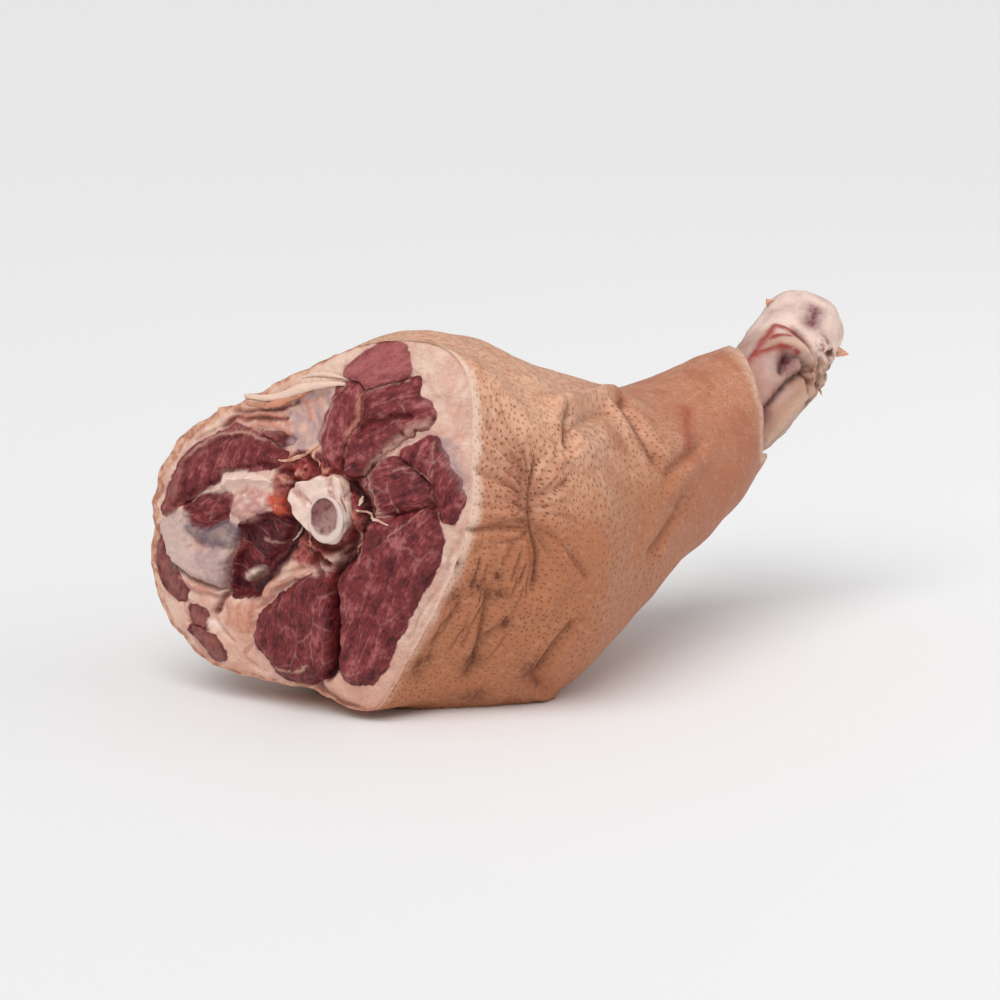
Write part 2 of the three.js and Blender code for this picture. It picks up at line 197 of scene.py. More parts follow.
# Muscles in the cut face: swell, tone (above 0 is paler), grain in degrees, outline across and up
MUSCLES = {
    "top lobe": (3, 0.9, 35, [
        (19, 93), (29, 102), (39, 109), (51, 111), (58, 106), (60, 94), (48, 90), (40, 85), (33, 85),
        (26, 89),
    ]),
    "upper lobe": (4, 0.1, 28, [
        (37, 84), (55, 88), (68, 92), (69, 81), (76, 78), (79, 72), (77, 66), (68, 61), (54, 52), (43, 43),
        (38, 35), (30, 31), (23, 36), (24, 47), (32, 60), (36, 72),
    ]),
    "narrow wedge": (3, 0.4, 78, [
        (27, 86), (32, 82), (31, 66), (26, 59), (22, 49), (20, 37), (14, 34), (11, 45), (8, 55), (10, 67),
        (14, 78), (19, 85),
    ]),
    "right lobe": (3, 0.1, 70, [
        (61, 47), (72, 55), (80, 58), (89, 45), (96, 30), (97, 19), (93, 10), (88, 12), (83, 20), (80, 30),
        (70, 37),
    ]),
    "middle lobe": (3, -0.1, 20, [
        (42, 36), (50, 43), (58, 45), (65, 42), (74, 35), (80, 27), (80, 18), (70, 15), (58, 13), (46, 14),
        (42, 25),
    ]),
    "bone meat": (0, -0.4, 40, [(25, 29), (38, 33), (43, 18), (41, 9), (33, 14), (29, 23)]),
    "big muscle": (6, 0.1, 66, [
        (41, 5), (54, 8), (72, 16), (79, 18), (85, 4), (85, -11), (78, -26), (62, -56), (48, -85), (35, -92),
        (26, -89), (21, -76), (23, -58), (21, -37), (22, -25), (33, -16),
    ]),
    "low muscle": (5, -0.1, 75, [
        (-36, -74), (-31, -58), (-18, -46), (5, -30), (20, -30), (22, -43), (21, -61), (21, -79), (12, -91),
        (-5, -98), (-22, -93), (-27, -85),
    ]),
    "dark hollow": (-9, -0.6, -40, [
        (-48, -6), (-36, 1), (-23, 5), (-14, 4), (-10, -2), (-13, -12), (-21, -23), (-29, -31), (-34, -44),
        (-48, -48), (-54, -42), (-53, -30), (-47, -15),
    ]),
    "arc muscle": (4, 0.3, 75, [
        (-107, -3), (-100, 17), (-91, 34), (-78, 43), (-64, 50), (-52, 55), (-40, 52), (-25, 45), (-17, 41),
        (-18, 37), (-25, 34), (-38, 31), (-52, 30), (-61, 28), (-63, 22), (-75, 16), (-85, 9),
    ]),
    "arc sliver": (0, -0.2, 10, [(-33, 52), (-15, 52), (-14, 48), (-22, 47), (-29, 49)]),
    "left oval": (-3, 0.0, 20, [
        (-89, -2), (-87, 5), (-75, 11), (-59, 15), (-52, 11), (-54, 6), (-59, -3), (-70, -7), (-83, -7),
    ]),
    "left edge": (0, -0.3, 70, [
        (-112, -12), (-109, -22), (-104, -34), (-95, -40), (-88, -49), (-91, -56), (-101, -51), (-109, -43),
        (-114, -27),
    ]),
    "upper islet": (0, -0.4, 60, [(-85, -60), (-78, -58), (-72, -61), (-75, -65), (-73, -69), (-82, -70)]),
    "low islet": (0, -0.3, 60, [
        (-86, -73), (-79, -71), (-74, -75), (-66, -76), (-61, -85), (-64, -91), (-71, -89), (-77, -81),
    ]),
    "bone pad": (2, 0.3, 0, [(-11, 36), (-4, 40), (7, 38), (6, 33), (-3, 26), (-10, 29)]),
}
# Other tissue in the cut face: kind, swell, outline
TISSUES = [
    ("silver", -3, [
        (-20, 64), (-16, 76), (-4, 81), (9, 83), (12, 72), (7, 66), (8, 56), (2, 48), (-10, 43), (-16, 49),
        (-14, 57),
    ]),
    ("silver", 0, [(81, 60), (92, 56), (98, 46), (99, 36), (98, 26), (93, 38), (88, 48), (84, 55)]),
    ("silver", 1, [(-79, -23), (-56, -19), (-55, -30), (-58, -44), (-67, -44), (-73, -36)]),
    ("membrane", 1, [
        (-108, -4), (-101, 17), (-92, 34), (-78, 44), (-64, 51), (-52, 57), (-40, 57), (-28, 55), (-16, 53),
        (-30, 50), (-44, 51), (-63, 45), (-76, 38), (-84, 31), (-89, 20), (-92, 9), (-100, 2),
    ]),
    ("membrane", 0, [(-112, -12), (-104, -33), (-88, -48), (-91, -57), (-103, -52), (-114, -28)]),
    ("membrane", 0, [
        (-86, -60), (-78, -57), (-71, -61), (-74, -73), (-66, -76), (-60, -86), (-65, -92), (-84, -76),
    ]),
    ("white", 1, [(-73, -67), (-66, -65), (-61, -69), (-67, -72)]),
    ("membrane", 1, [(-58, 60), (-44, 66), (-26, 70), (-18, 66), (-34, 61), (-46, 58)]),
    ("cartilage", 4, [
        (-109, -6), (-91, 0), (-86, -8), (-81, -22), (-57, -22), (-57, -40), (-66, -45), (-84, -41),
        (-100, -36), (-108, -21),
    ]),
    ("blue", 2, [
        (-88, -8), (-79, -8), (-65, -5), (-55, -2), (-48, -8), (-48, -14), (-55, -20), (-68, -21), (-79, -19),
        (-86, -13),
    ]),
    ("white", 5, [
        (-83, 8), (-63, 21), (-61, 28), (-42, 29), (-28, 26), (-24, 22), (-37, 21), (-51, 19), (-56, 15),
        (-75, 12),
    ]),
    ("marbled", 3, [(-53, 16), (-33, 19), (-23, 12), (-28, 5), (-43, -3), (-52, 0)]),
    ("blood", 1, [(-27, 18), (-15, 14), (-13, 7), (-18, 4), (-25, 9)]),
    ("white", 2, [(-48, -36), (-42, -31), (-34, -29), (-35, -34), (-45, -39)]),
    ("orange", 4, [
        (-34, -53), (-29, -36), (-16, -30), (-1, -26), (0, -31), (-10, -34), (-17, -40), (-25, -45),
    ]),
    ("orange", 2, [
        (-53, -49), (-45, -51), (-36, -49), (-33, -55), (-36, -63), (-37, -72), (-52, -71), (-59, -66),
        (-56, -57),
    ]),
    ("orange", 4, [(15, -17), (22, -12), (27, -16), (25, -23), (18, -23), (14, -21)]),
    ("raw", 4, [(-9, -9), (0, -5), (6, -10), (11, -15), (6, -18), (-3, -17)]),
    ("orange", 3, [(-9, -29), (2, -28), (9, -22), (14, -25), (8, -32), (-3, -36)]),
    ("orange", -1, [(-52, 66), (-30, 66), (-8, 76), (12, 82), (10, 77), (-12, 68), (-38, 58)]),
    ("raw", -3, [
        (-25, 25), (-12, 41), (11, 44), (26, 29), (41, 11), (39, -3), (28, -22), (17, -31), (-1, -25),
        (-16, -16), (-11, 2), (-21, 12),
    ]),
]
TISSUE_KINDS = ("silver", "membrane", "cartilage", "blue", "white", "marbled", "blood", "orange", "raw")
# Half widths of the edges of soft kinds and of the others, and how far in a form reaches its full swell
SOFT_KINDS = {"orange": 5, "membrane": 3, "silver": 3}
FIRM_EDGE = 1.75
FORM_EDGE = 6
# How far from an outline distances are worked out, and how far lean reaches past its outlines
FACE_REACH = 14
LEAN_GROWTH = 1.5
# Distances over which lean ends, seams end and redness next to the lean fades
LEAN_EDGE = (-1.0, 1.6)
SEAM_EDGE = (0.5, 2.5)
NEAR_FADE = 6
# Seams between muscles: half width, depth and how dark their painted shade is
SEAM = (1.3, 2, 0.35)
# How far the face drops at its rim and over which distance, and its lowest height
RIM_DROP = (3, 4)
FACE_LOWEST = -3
# Unevenness of the cut face, its edge, its fat and its raw tissue: height, size of the bumps, seed
FACE_WAVES = ((1.2, 30, 6), (0.5, 9, 7))
EDGE_WAVES = ((1, 12, 21), (0.5, 3, 22))
FAT_WAVES = ((1.3, 11, 32), (0.6, 4, 33))
RAW_LUMPS = ((1, 7, 10), (0.6, 3.5, 11))
# Steps of smoothing that find narrow and wide hollows, where the lean gets painted shade
HOLLOW_STEPS = (3, 12)
# Crevices between the forms: depth, half width, line across and up; deeper ones get darker painted shade
CREVICES = [
    (9, 4.5, [(28, 27), (34, 21), (37, 13), (38, 5), (35, -7), (28, -18), (22, -26)]),
    (8, 3, [(20, -28), (22, -38), (23, -50), (22, -65), (20, -80), (12, -91)]),
    (10, 6, [(-10, -4), (-15, -15), (-22, -24), (-28, -32), (-40, -44)]),
    (4, 2.5, [(26, 49), (24, 42), (22, 33)]),
    (4, 2, [(33, 60), (43, 65), (54, 68), (66, 70)]),
    (5, 4, [(5, -98), (12, -105), (22, -108), (31, -110)]),
    (2, 1.5, [(-84, 11), (-65, 21), (-61, 27), (-43, 32), (-24, 35)]),
    (2, 1.5, [(-88, -4), (-80, -7), (-66, -4), (-54, 5)]),
    (3.5, 1.8, [(-109, -19), (-101, -33), (-86, -40), (-66, -45), (-55, -44)]),
    (4, 2, [(-47, -7), (-49, -16), (-55, -26), (-57, -42)]),
    (2, 1.5, [(-34, -53), (-25, -47), (-17, -41), (-8, -35), (0, -32)]),
    (2, 1.5, [(-36, -45), (-29, -37), (-16, -30), (-2, -26)]),
    (5, 2.5, [(-10, 24), (-15, 14), (-8, 2), (2, -9), (14, -13), (26, -9)]),
    (6, 2.5, [(1, -14), (8, -19), (13, -21)]),
    (5, 2, [(-13, 0), (-9, -8), (-11, -14)]),
    (6, 3, [(30, -2), (27, -11), (23, -15)]),
    (5, 2, [(4, -21), (9, -26), (12, -31)]),
    (4, 2, [(-8, 42), (0, 39), (5, 33)]),
    (4, 2, [(-21, 31), (-14, 29), (-8, 24)]),
    (2, 2, [(-86, -49), (-75, -50), (-61, -51), (-55, -45)]),
    (3, 1.8, [(-97, 3), (-90, 12), (-89, 23), (-85, 34), (-76, 40), (-62, 46), (-49, 50)]),
    (2, 1.5, [(-36, 48), (-25, 44), (-16, 41)]),
    (3.5, 1.6, [(-66, 54), (-52, 60), (-36, 60), (-20, 62)]),
    (3, 1.4, [(-56, 63), (-40, 66), (-26, 67), (-14, 73)]),
    (1.6, 1.2, [(-84, 44), (-70, 52), (-58, 57)]),
    (4.5, 2.2, [(-55, -46), (-60, -52), (-65, -59)]),
    (2, 1.4, [(-66, -60), (-66, -64), (-62, -70), (-54, -76)]),
    (1.6, 1.2, [(-92, -57), (-86, -72), (-78, -88), (-64, -94)]),
    (1.6, 1.2, [(-40, -76), (-44, -86), (-34, -94)]),
    (1.6, 1.2, [(92, -8), (86, -26), (76, -42), (66, -62)]),
]
# Pale lines of sinew and fat in the lean, one of them a painted highlight along the arc muscle's outer film:
# half width, line across and up
PALE_LINES = [
    (2.3, [(79, 68), (68, 63), (57, 54), (48, 46), (42, 37), (41, 30), (45, 18), (48, 12)]),
    (0.7, [(57, 38), (67, 40), (78, 33), (81, 24), (85, 15)]),
    (0.5, [(53, 31), (56, 22), (61, 13)]),
    (0.5, [(41, -3), (38, -21)]),
    (0.6, [(59, -5), (58, 0), (67, 7), (76, 17)]),
    (0.9, [(35, 83), (46, 87), (62, 91)]),
    (0.8, [(22, 86), (16, 79), (11, 66), (8, 53), (11, 39)]),
    # Painted highlight along the outer film of the arc muscle
    (0.9, [(-88, 33), (-75, 45), (-58, 51), (-46, 53), (-32, 48), (-17, 45)]),
    (0.7, [(60, 78), (62, 74), (63, 70)]),
    (1.2, [(-24, -89), (-15, -91), (-7, -90), (2, -86)]),
    (0.8, [(-33, -12), (-20, -14), (-12, -10)]),
    (0.6, [(80, 56), (82, 46), (80, 35)]),
]
# Salmon streaks: half width, line
SALMON_STREAKS = [
    (1.8, [(34, 80), (32, 73), (32, 66), (27, 59), (25, 52), (23, 44)]),
    (1.6, [(-57, -50), (-55, -58), (-57, -66)]),
    (1.2, [(-46, -52), (-48, -61), (-45, -70)]),
    (1.4, [(-37, -52), (-39, -61), (-40, -70)]),
    (1.6, [(-92, -43), (-78, -46), (-64, -50)]),
    (1.4, [(-24, -43), (-14, -36), (-4, -32)]),
    (1.8, [(-62, 56), (-46, 62), (-28, 63), (-16, 59)]),
    (1.5, [(-42, 56), (-28, 58), (-15, 54)]),
    (1.5, [(-52, 66), (-36, 68), (-20, 71)]),
    (1.6, [(-10, 77), (-5, 70), (-3, 63)]),
]

# Aitch bone: across, up, height over the butt plane, half wide, half tall
AITCH_SECTIONS = [
    (6, 14, -60, 12, 13),
    (6, 14, -30, 15, 16),
    (6, 13, -6, 19, 19),
    (7, 12, 5, 21, 20),
    (9, 11, 13, 19, 19),
    (16.5, 6.5, 14.5, 12.8, 14.6),
    (17, 6, 18, 12, 14),
]
# Outline of the bone's knob from the top by the near side, and where it stands out
KNOB_RADII = (18.5, 22.7, 23.4, 20.8, 23.7, 21.9, 16.8, 8, 8, 18.5, 22.4, 16.2)
KNOB_MIDDLE = (8, 12)
KNOB_HEIGHT = 10
KNOB_REACH = 9
KNOB_FADE = (13.2, 14.4)
# Red clefts in the knob: degrees and half width in degrees
KNOB_CLEFTS = [(12, 9), (64, 12), (205, 12), (300, 8)]
# Heights over which clefts end, relief starts and ends, the sawn rim starts and blood at the root ends
CLEFT_END = (14, 16)
RELIEF_START = (6, 12)
RELIEF_END = (14.5, 17)
SAWN_START = (14, 15.5)
ROOT_BLOOD = (0, 9)
# Unevenness of the bone sideways and in its height: height, size of the bumps, seed
KNOB_SWELLS = ((2.6, 13, 13), (1.1, 5, 14))
KNOB_RISES = ((2.4, 10, 35), (1.1, 4, 36))
AITCH_SHAFT_RINGS = 60
# Sawn rim: share of the way in to the marrow, height over the saw cut
SAWN_RIM = ((0.2, 0.3), (0.4, 0.4), (0.6, 0.3), (0.8, 0.1), (1, -0.2))
# Marrow in the sawn face: across, up, half wide, half tall
MARROW = (16, 8.2, 8.4, 10.4)
MARROW_DEPTH = 1
# Rings of the marrow as shares of its size
MARROW_BED = (0.92, 0.75, 0.58, 0.4, 0.22, 0.06)

# Shank bone: x, y, z, half across, half up
SHANK_SECTIONS = [
    (40, 5, 119, 12, 12),
    (80, 5, 127, 19, 19),
    (120, 3, 136, 23, 24),
    (155, 3, 147, 27, 28),
    (182, 9, 165, 30, 32),
    (208, 15, 185, 30, 32),
    (225, 20, 200, 30, 29),
]
SHANK_LENGTH = 220
SHANK_TIP = 20
SHANK_TIP_RINGS = 14
# Shares of the bone where the lean and the cuff's floor meet it, and how deep the lean's socket is
SHANK_LEAN = 0.3
SHANK_FLOOR = 0.4
SHANK_SOCKET = 4
# Furrows of the shank: depth, half width, how dark their painted shade is, line of (share of the bone, angle)
SHANK_FURROWS = [
    (6, 4, 1.0, [(0.41, 79), (0.45, 74), (0.51, 68), (0.59, 64), (0.66, 71), (0.71, 80)]),
    (5, 4.5, 1.0, [(0.63, 47), (0.66, 45), (0.69, 44)]),
    (3, 3, 0.8, [(0.69, 46), (0.72, 57), (0.72, 67)]),
    (3, 3, 0.7, [(0.8, 30), (0.79, 43), (0.78, 59), (0.77, 69)]),
    (3, 3, 0.8, [(0.72, 76), (0.7, 89), (0.67, 100)]),
    (3, 3, 0.8, [(0.78, 84), (0.75, 95), (0.72, 110)]),
    (3, 3, 0.8, [(0.84, 94), (0.83, 110), (0.81, 128)]),
    (1.5, 4, 0.6, [(0.4, 95), (0.41, 79), (0.43, 50), (0.46, 22), (0.54, 2), (0.6, -14)]),
]
# Tan ligaments that stand out: height, half width, line
SHANK_RIDGES = [
    (3.5, 4, [(0.7, 28), (0.73, 34), (0.75, 44), (0.755, 59), (0.745, 73)]),
    (2, 3, [(0.77, 88), (0.74, 102), (0.71, 120)]),
    (2, 3, [(0.81, 88), (0.79, 105), (0.77, 122)]),
    (2.5, 5, [(0.46, 117), (0.55, 98), (0.66, 100), (0.73, 112)]),
]
# Red lines: half width, line
SHANK_RED_LINES = [
    (3, [(0.46, 20), (0.55, 3), (0.65, 6), (0.72, 8), (0.78, 9)]),
    (2.8, [(0.58, -1), (0.63, 8), (0.67, 20), (0.7, 32)]),
    (4, [(0.62, -19), (0.59, -4)]),
    (2.4, [(0.79, 27), (0.79, 40), (0.775, 58)]),
    (1.8, [(0.78, 9), (0.785, 19), (0.79, 29)]),
    (1.5, [(0.72, 14), (0.75, 22), (0.765, 34)]),
    (1.6, [(0.7, 32), (0.725, 43), (0.73, 54)]),
    (2.2, [(0.57, 3), (0.53, 14), (0.495, 28), (0.47, 42)]),
]
# Purple patches of the hock and reddish ones by the cuff: half width, line
SHANK_BRUISES = [
    (5, [(0.44, 84), (0.475, 76)]),
    (7, [(0.87, 46), (0.91, 44), (0.97, 40)]),
    (8, [(0.66, 47), (0.685, 46)]),
    (4.5, [(0.41, 79), (0.46, 74)]),
]
SHANK_BLUSHES = [(9, [(0.47, 34), (0.52, 32)]), (6, [(0.56, 20), (0.6, 14)]), (6, [(0.5, 60), (0.54, 56)])]
# Ragged brown tissue round the hock: shares and angles
HOCK_RAGGED = ((0.69, 0.86), (70, 135))
# Where it fades: share of the bone, degrees before its first angle, degrees of the fade
RAGGED_FADE = (0.03, 15, 25)
# Shares and angles over which the white knob starts and the tendon shows
HOCK_KNOB = (0.7, 0.8)
TENDON_SHARES = (0.68, 0.8)
TENDON_ANGLES = (66, 82)
# Unevenness of the shank: height, size of the bumps, seed
SHANK_WAVES = ((1.4, 20, 16), (0.3, 3, 25))

# Loose threads on the cut face: how thick, how brown, how far they lift, line across and up
FACE_STRANDS = [
    (1.2, 0.3, 3, [(31, 12), (40, 10), (47, 8), (56, 6)]),
    (1.6, 0.1, 1, [(33, 20), (32.5, 17), (32, 14)]),
    (1.4, 0.5, 0.5, [(-9, 2), (-2, -5), (3, -12)]),
    (1.2, 0.7, 0.5, [(30, 2), (33, -6), (30, -14)]),
    (0.7, 0.15, 1, [(-17, -12), (-13, -9), (-11, -6), (-10, -2)]),
    (1.3, 0.4, 0.5, [(7, 49), (-3, 43), (-14, 38), (-20, 38)]),
    (1.2, 0.4, 0.5, [(5, 47), (4, 42), (6, 36)]),
    (3.2, 0.0, 2, [(-53, 73), (-29, 74), (-9, 81), (4, 84), (21, 86)]),
    (2.4, 0.6, 1, [(-50, 69), (-32, 69), (-16, 75), (-2, 80)]),
    (1.6, 0.0, 1, [(-12, 87), (0, 90), (12, 90), (21, 88)]),
]
# Tags on the hock: how thick, how brown, how long, (share of the bone, angle) at the root and at the tip
HOCK_TAGS = [
    (3.4, 0.4, 8, (0.91, 112), (0.94, 118)),
    (2.8, 0.4, 5, (0.76, 128), (0.75, 134)),
    (3.4, 0.45, 4, (0.94, -24), (0.97, -30)),
    (2.2, 0.7, 3, (0.6, -8), (0.62, -20)),
]
# Ragged bits round the hock: how many, longest
HOCK_BITS = (10, 1.6)
TAG_SEED = 11
# Strands: points along and round each, and how many waves to the metre they waver with
STRAND_STEPS = 30
STRAND_SIDES = 12
STRAND_WAVES = 250.0
# Inputs of the strands' node group
STRAND_INPUTS = {
    "Geometry": "NodeSocketGeometry",
    "Flatness": "NodeSocketFloat",
    "Wobble": "NodeSocketFloat",
    "Seed": "NodeSocketFloat",
    "Material": "NodeSocketMaterial",
}

# Light: the sun's direction and its spread in degrees, the fill light's place and size in metres
KEY_DIRECTION = (-0.8, -0.5, 1.3)
KEY_SPREAD = 50
FILL_PLACE = (1.6, -1.6, 1.4)
FILL_SIZE = 2.0
# How far red, green and blue light reach into flesh
FLESH_RADIUS = (1.0, 0.35, 0.2)
# Colour of the floor's faint clouds
FLOOR_SPECK = (0.85, 0.85, 0.85)

Section = namedtuple("Section", "middle near along upward across up roll")


def mix(a, b, share):
    """Value at a share of the way from a to b."""
    return a + (b - a) * share


def smooth_step(value, low, high):
    """0 below low, 1 above high, and smooth between."""
    share = np.clip((value - low) / (high - low), 0, 1)
    return share * share * (3 - 2 * share)


def smooth_drop(value, low, high):
    """1 below low, 0 above high, and smooth between."""
    return 1 - smooth_step(value, low, high)


def bell(apart, half):
    """1 at no distance, about a third at the half width and 0 far away."""
    return np.exp(-(apart / half) ** 2)


def smooth_curve(rows, place, closed):
    """Smooth curve through rows of numbers, at places counted in rows."""
    rows = np.asarray(rows, float)
    if rows.ndim == 1:
        rows = rows[:, None]
    count = len(rows)
    start = np.floor(place).astype(int)
    if closed:
        a, b, c, d = (rows[(start + step) % count] for step in (-1, 0, 1, 2))
    else:
        start = np.clip(start, 0, count - 2)
        padded = np.vstack([2 * rows[:1] - rows[1:2], rows, 2 * rows[-1:] - rows[-2:-1]])
        a, b, c, d = (padded[start + step] for step in (0, 1, 2, 3))
    w = (place - start)[..., None]
    return b + 0.5 * w * (c - a + w * (2 * a - 5 * b + 4 * c - d + w * (3 * (b - c) + d - a)))


def around(values, angle):
    """Value at an angle, of values that stand evenly round a turn."""
    return smooth_curve(values, angle / FULL_TURN * len(values), True)[..., 0]


def along_rows(rows, share):
    """Row at a share of the way along rows of numbers."""
    return smooth_curve(rows, np.asarray(share, float) * (len(rows) - 1), False)


def noise(points, size, seed):
    """Smooth noise from about -1 to 1, with bumps of a size, at points in millimetres."""
    points = np.asarray(points, float)
    if points.shape[1] == 2:
        points = np.column_stack([points, np.zeros(len(points))])
    scaled = points / size + 31.7 * seed
    cell = np.floor(scaled).astype(np.int64)
    inner = scaled - cell
    fade = inner ** 3 * (inner * (inner * 6 - 15) + 10)
    total = np.zeros(len(points))
    for corner in itertools.product((0, 1), repeat=3):
        key = cell + corner
        code = np.bitwise_xor.reduce(key * CELL_PRIMES, axis=1)
        code = (code ^ (code >> 13)) * MIX_PRIME & 0x7FFFFFFF
        slope = np.stack([code & 1023, code >> 10 & 1023, code >> 20 & 1023], 1) / 511.5 - 1
        weight = np.prod(np.where(corner, fade, 1 - fade), axis=1)
        total += weight * np.sum(slope * (inner - corner), axis=1)
    return 1.5 * total


def waves(points, layers):
    """Sum of layers of noise, each with a height, a size of its bumps and a seed."""
    return sum(height * noise(points, size, seed) for height, size, seed in layers)


def leg_section(share):
    """Middle, directions and half sizes of the leg at shares of its length."""
    rows = along_rows(LEG_SECTIONS, share)
    roll, pitch, yaw = np.radians(rows[..., 5:8]).T
    flat = np.zeros_like(yaw)
    near = np.stack([np.sin(yaw), -np.cos(yaw), flat], -1)
    along = np.stack([np.cos(yaw) * np.cos(pitch), np.sin(yaw) * np.cos(pitch), np.sin(pitch)], -1)
    return Section(rows[..., :3], near, along, np.cross(near, along), rows[..., 3], rows[..., 4], roll)


def section_radius(section, angle):
    """Radius of a rounded section at an angle."""
    wide = np.abs(np.sin(angle - section.roll)) / section.across
    tall = np.abs(np.cos(angle - section.roll)) / section.up
    return (wide ** SECTION_POWER + tall ** SECTION_POWER) ** (-1 / SECTION_POWER)


def leg_radius(share, angle):
    """Radius of the leg, which follows the butt's own outline at the cut face."""
    plain = section_radius(leg_section(share), angle)
    return mix(around(BUTT_RADII, angle), plain, smooth_step(share, 0, BUTT_REACH))


def leg_points(share, angle, depth):
    """Points of the leg at depths under its rind, kept as far above the table."""
    section = leg_section(share)
    radius = (leg_radius(share, angle) - depth)[:, None]
    sine, cosine = np.sin(angle)[:, None], np.cos(angle)[:, None]
    points = section.middle + radius * (section.near * sine + section.upward * cosine)
    points[:, 2] = np.maximum(points[:, 2], depth)
    return points


def fat_depth(share, angle):
    """Thickness of rind and fat."""
    return mix(around(FAT_AT_BUTT, angle), FAT_AT_SHANK, smooth_step(share, 0, LEAN_END))


def segment_distance(spots, starts, ends):
    """Distance of each spot to the nearest of some segments; both may differ for every spot."""
    step = ends - starts
    away = spots[:, None] - starts
    place = np.clip(np.sum(away * step, -1) / np.maximum(np.sum(step * step, -1), 1e-9), 0, 1)
    return np.sqrt(np.min(np.sum((away - place[..., None] * step) ** 2, -1), axis=1))


def smooth_line(line):
    """Points of a smooth line through the given ones, five to a span."""
    steps = 5
    count = (len(line) - 1) * steps
    return smooth_curve(line, np.arange(count + 1) / steps, False)


def line_distance(places, line, reach):
    """Distance of places on the cut face to a smooth line, at most the reach."""
    path = smooth_line(line)
    distance = np.full(len(places), float(reach))
    close = np.all((places > path.min(0) - reach) & (places < path.max(0) + reach), axis=1)
    distance[close] = np.minimum(segment_distance(places[close], path[None, :-1], path[None, 1:]), reach)
    return distance


def outline_distance(places, outline):
    """Distance of places to a smooth closed outline, negative inside, at most the face's reach."""
    steps = 6
    loop = smooth_curve(outline, np.arange(len(outline) * steps) / steps, True)
    ahead = np.roll(loop, -1, axis=0)
    distance = np.full(len(places), float(FACE_REACH))
    close = np.all((places > loop.min(0) - FACE_REACH) & (places < loop.max(0) + FACE_REACH), axis=1)
    spots = places[close]
    apart = np.minimum(segment_distance(spots, loop[None], ahead[None]), FACE_REACH)
    crosses = (loop[:, 1] > spots[:, 1:]) != (ahead[:, 1] > spots[:, 1:])
    rise = np.where(ahead[:, 1] == loop[:, 1], 1e-9, ahead[:, 1] - loop[:, 1])
    cut = loop[:, 0] + (spots[:, 1:] - loop[:, 1]) / rise * (ahead[:, 0] - loop[:, 0])
    inside = np.sum(crosses & (spots[:, :1] < cut), axis=1) % 2 == 1
    distance[close] = np.where(inside, -apart, apart)
    return distance


def skin_distance(share, angle, girth, line):
    """Distance in millimetres over the rind to a line of (share, angle), at most 40."""
    reach = 40
    path = smooth_line(line)
    margin = reach / LEG_LENGTH
    turn = math.radians(60)
    swing = np.radians(path[:, 1])
    close = (share > path[:, 0].min() - margin) & (share < path[:, 0].max() + margin)
    close &= (angle > swing.min() - turn) & (angle < swing.max() + turn)
    distance = np.full(len(share), float(reach))
    wide = girth[close][:, None]
    shares = np.broadcast_to(path[:, 0] * LEG_LENGTH, (wide.shape[0], len(path)))
    path_mm = np.stack([shares, swing * wide], -1)
    spots = np.stack([share[close] * LEG_LENGTH, angle[close] * wide[:, 0]], -1)
    distance[close] = np.minimum(segment_distance(spots, path_mm[:, :-1], path_mm[:, 1:]), reach)
    return distance


def flank_wrinkles():
    """Wrinkles of the rind round its flank crease and low on the butt: depth, half width, how dark their
    painted shade is, line.
    """
    dice = np.random.default_rng(WRINKLE_SEED)
    crease = np.array(FLANK_CREASE)
    wrinkles = []
    for count, ends, start_degrees, end_degrees in (FAN_TO_RIM, FAN_TO_SHANK):
        for step in (np.arange(count) + 0.5) / count:
            degrees = mix(*start_degrees, step)
            start = (np.interp(degrees, crease[:, 1], crease[:, 0]), degrees)
            end = (dice.uniform(*ends), mix(*end_degrees, step) + dice.uniform(-2, 2))
            middle = (mix(start[0], end[0], 0.5), mix(start[1], end[1], 0.5) + dice.uniform(-2, 2))
            deep = dice.uniform(0.7, 1.5)
            wrinkles.append((deep, 2.0, 0.2, [start, middle, end]))
            wrinkles.append((0.8 * deep, 1.6, dice.uniform(0.3, 0.6), [start, middle]))
    count, shares, degrees, length = LOW_CRACKS
    for _ in range(count):
        start = (dice.uniform(*shares), dice.uniform(*degrees))
        turn = math.degrees(dice.uniform(0.4, 1.3) * length / MEAN_RADIUS)
        end = (start[0] + dice.uniform(-0.012, 0.012), start[1] + turn)
        wrinkles.append((dice.uniform(0.8, 1.6), 1.7, dice.uniform(0.3, 0.75), [start, end]))
    return wrinkles


def crowded(start, end, count, peak, half, gain):
    """Places from start to end that stand closer together near a peak."""
    line = np.linspace(start, end, 4000)
    density = 1 + gain * bell(line - peak, half)
    run = np.cumsum(density)
    run = (run - run[0]) / (run[-1] - run[0])
    return np.interp(np.linspace(0, 1, count), run, line)


def ragged(angle):
    """How far the torn rim stands out at an angle, in straight runs with corners."""
    ring = MEAN_RADIUS * np.column_stack([np.cos(angle), np.sin(angle)])
    corners = 0.3 - np.abs(noise(ring, 24, 26))
    return around(RAGGED_RIM, angle) * (5 * corners + 0.8 * noise(ring, 5, 27))


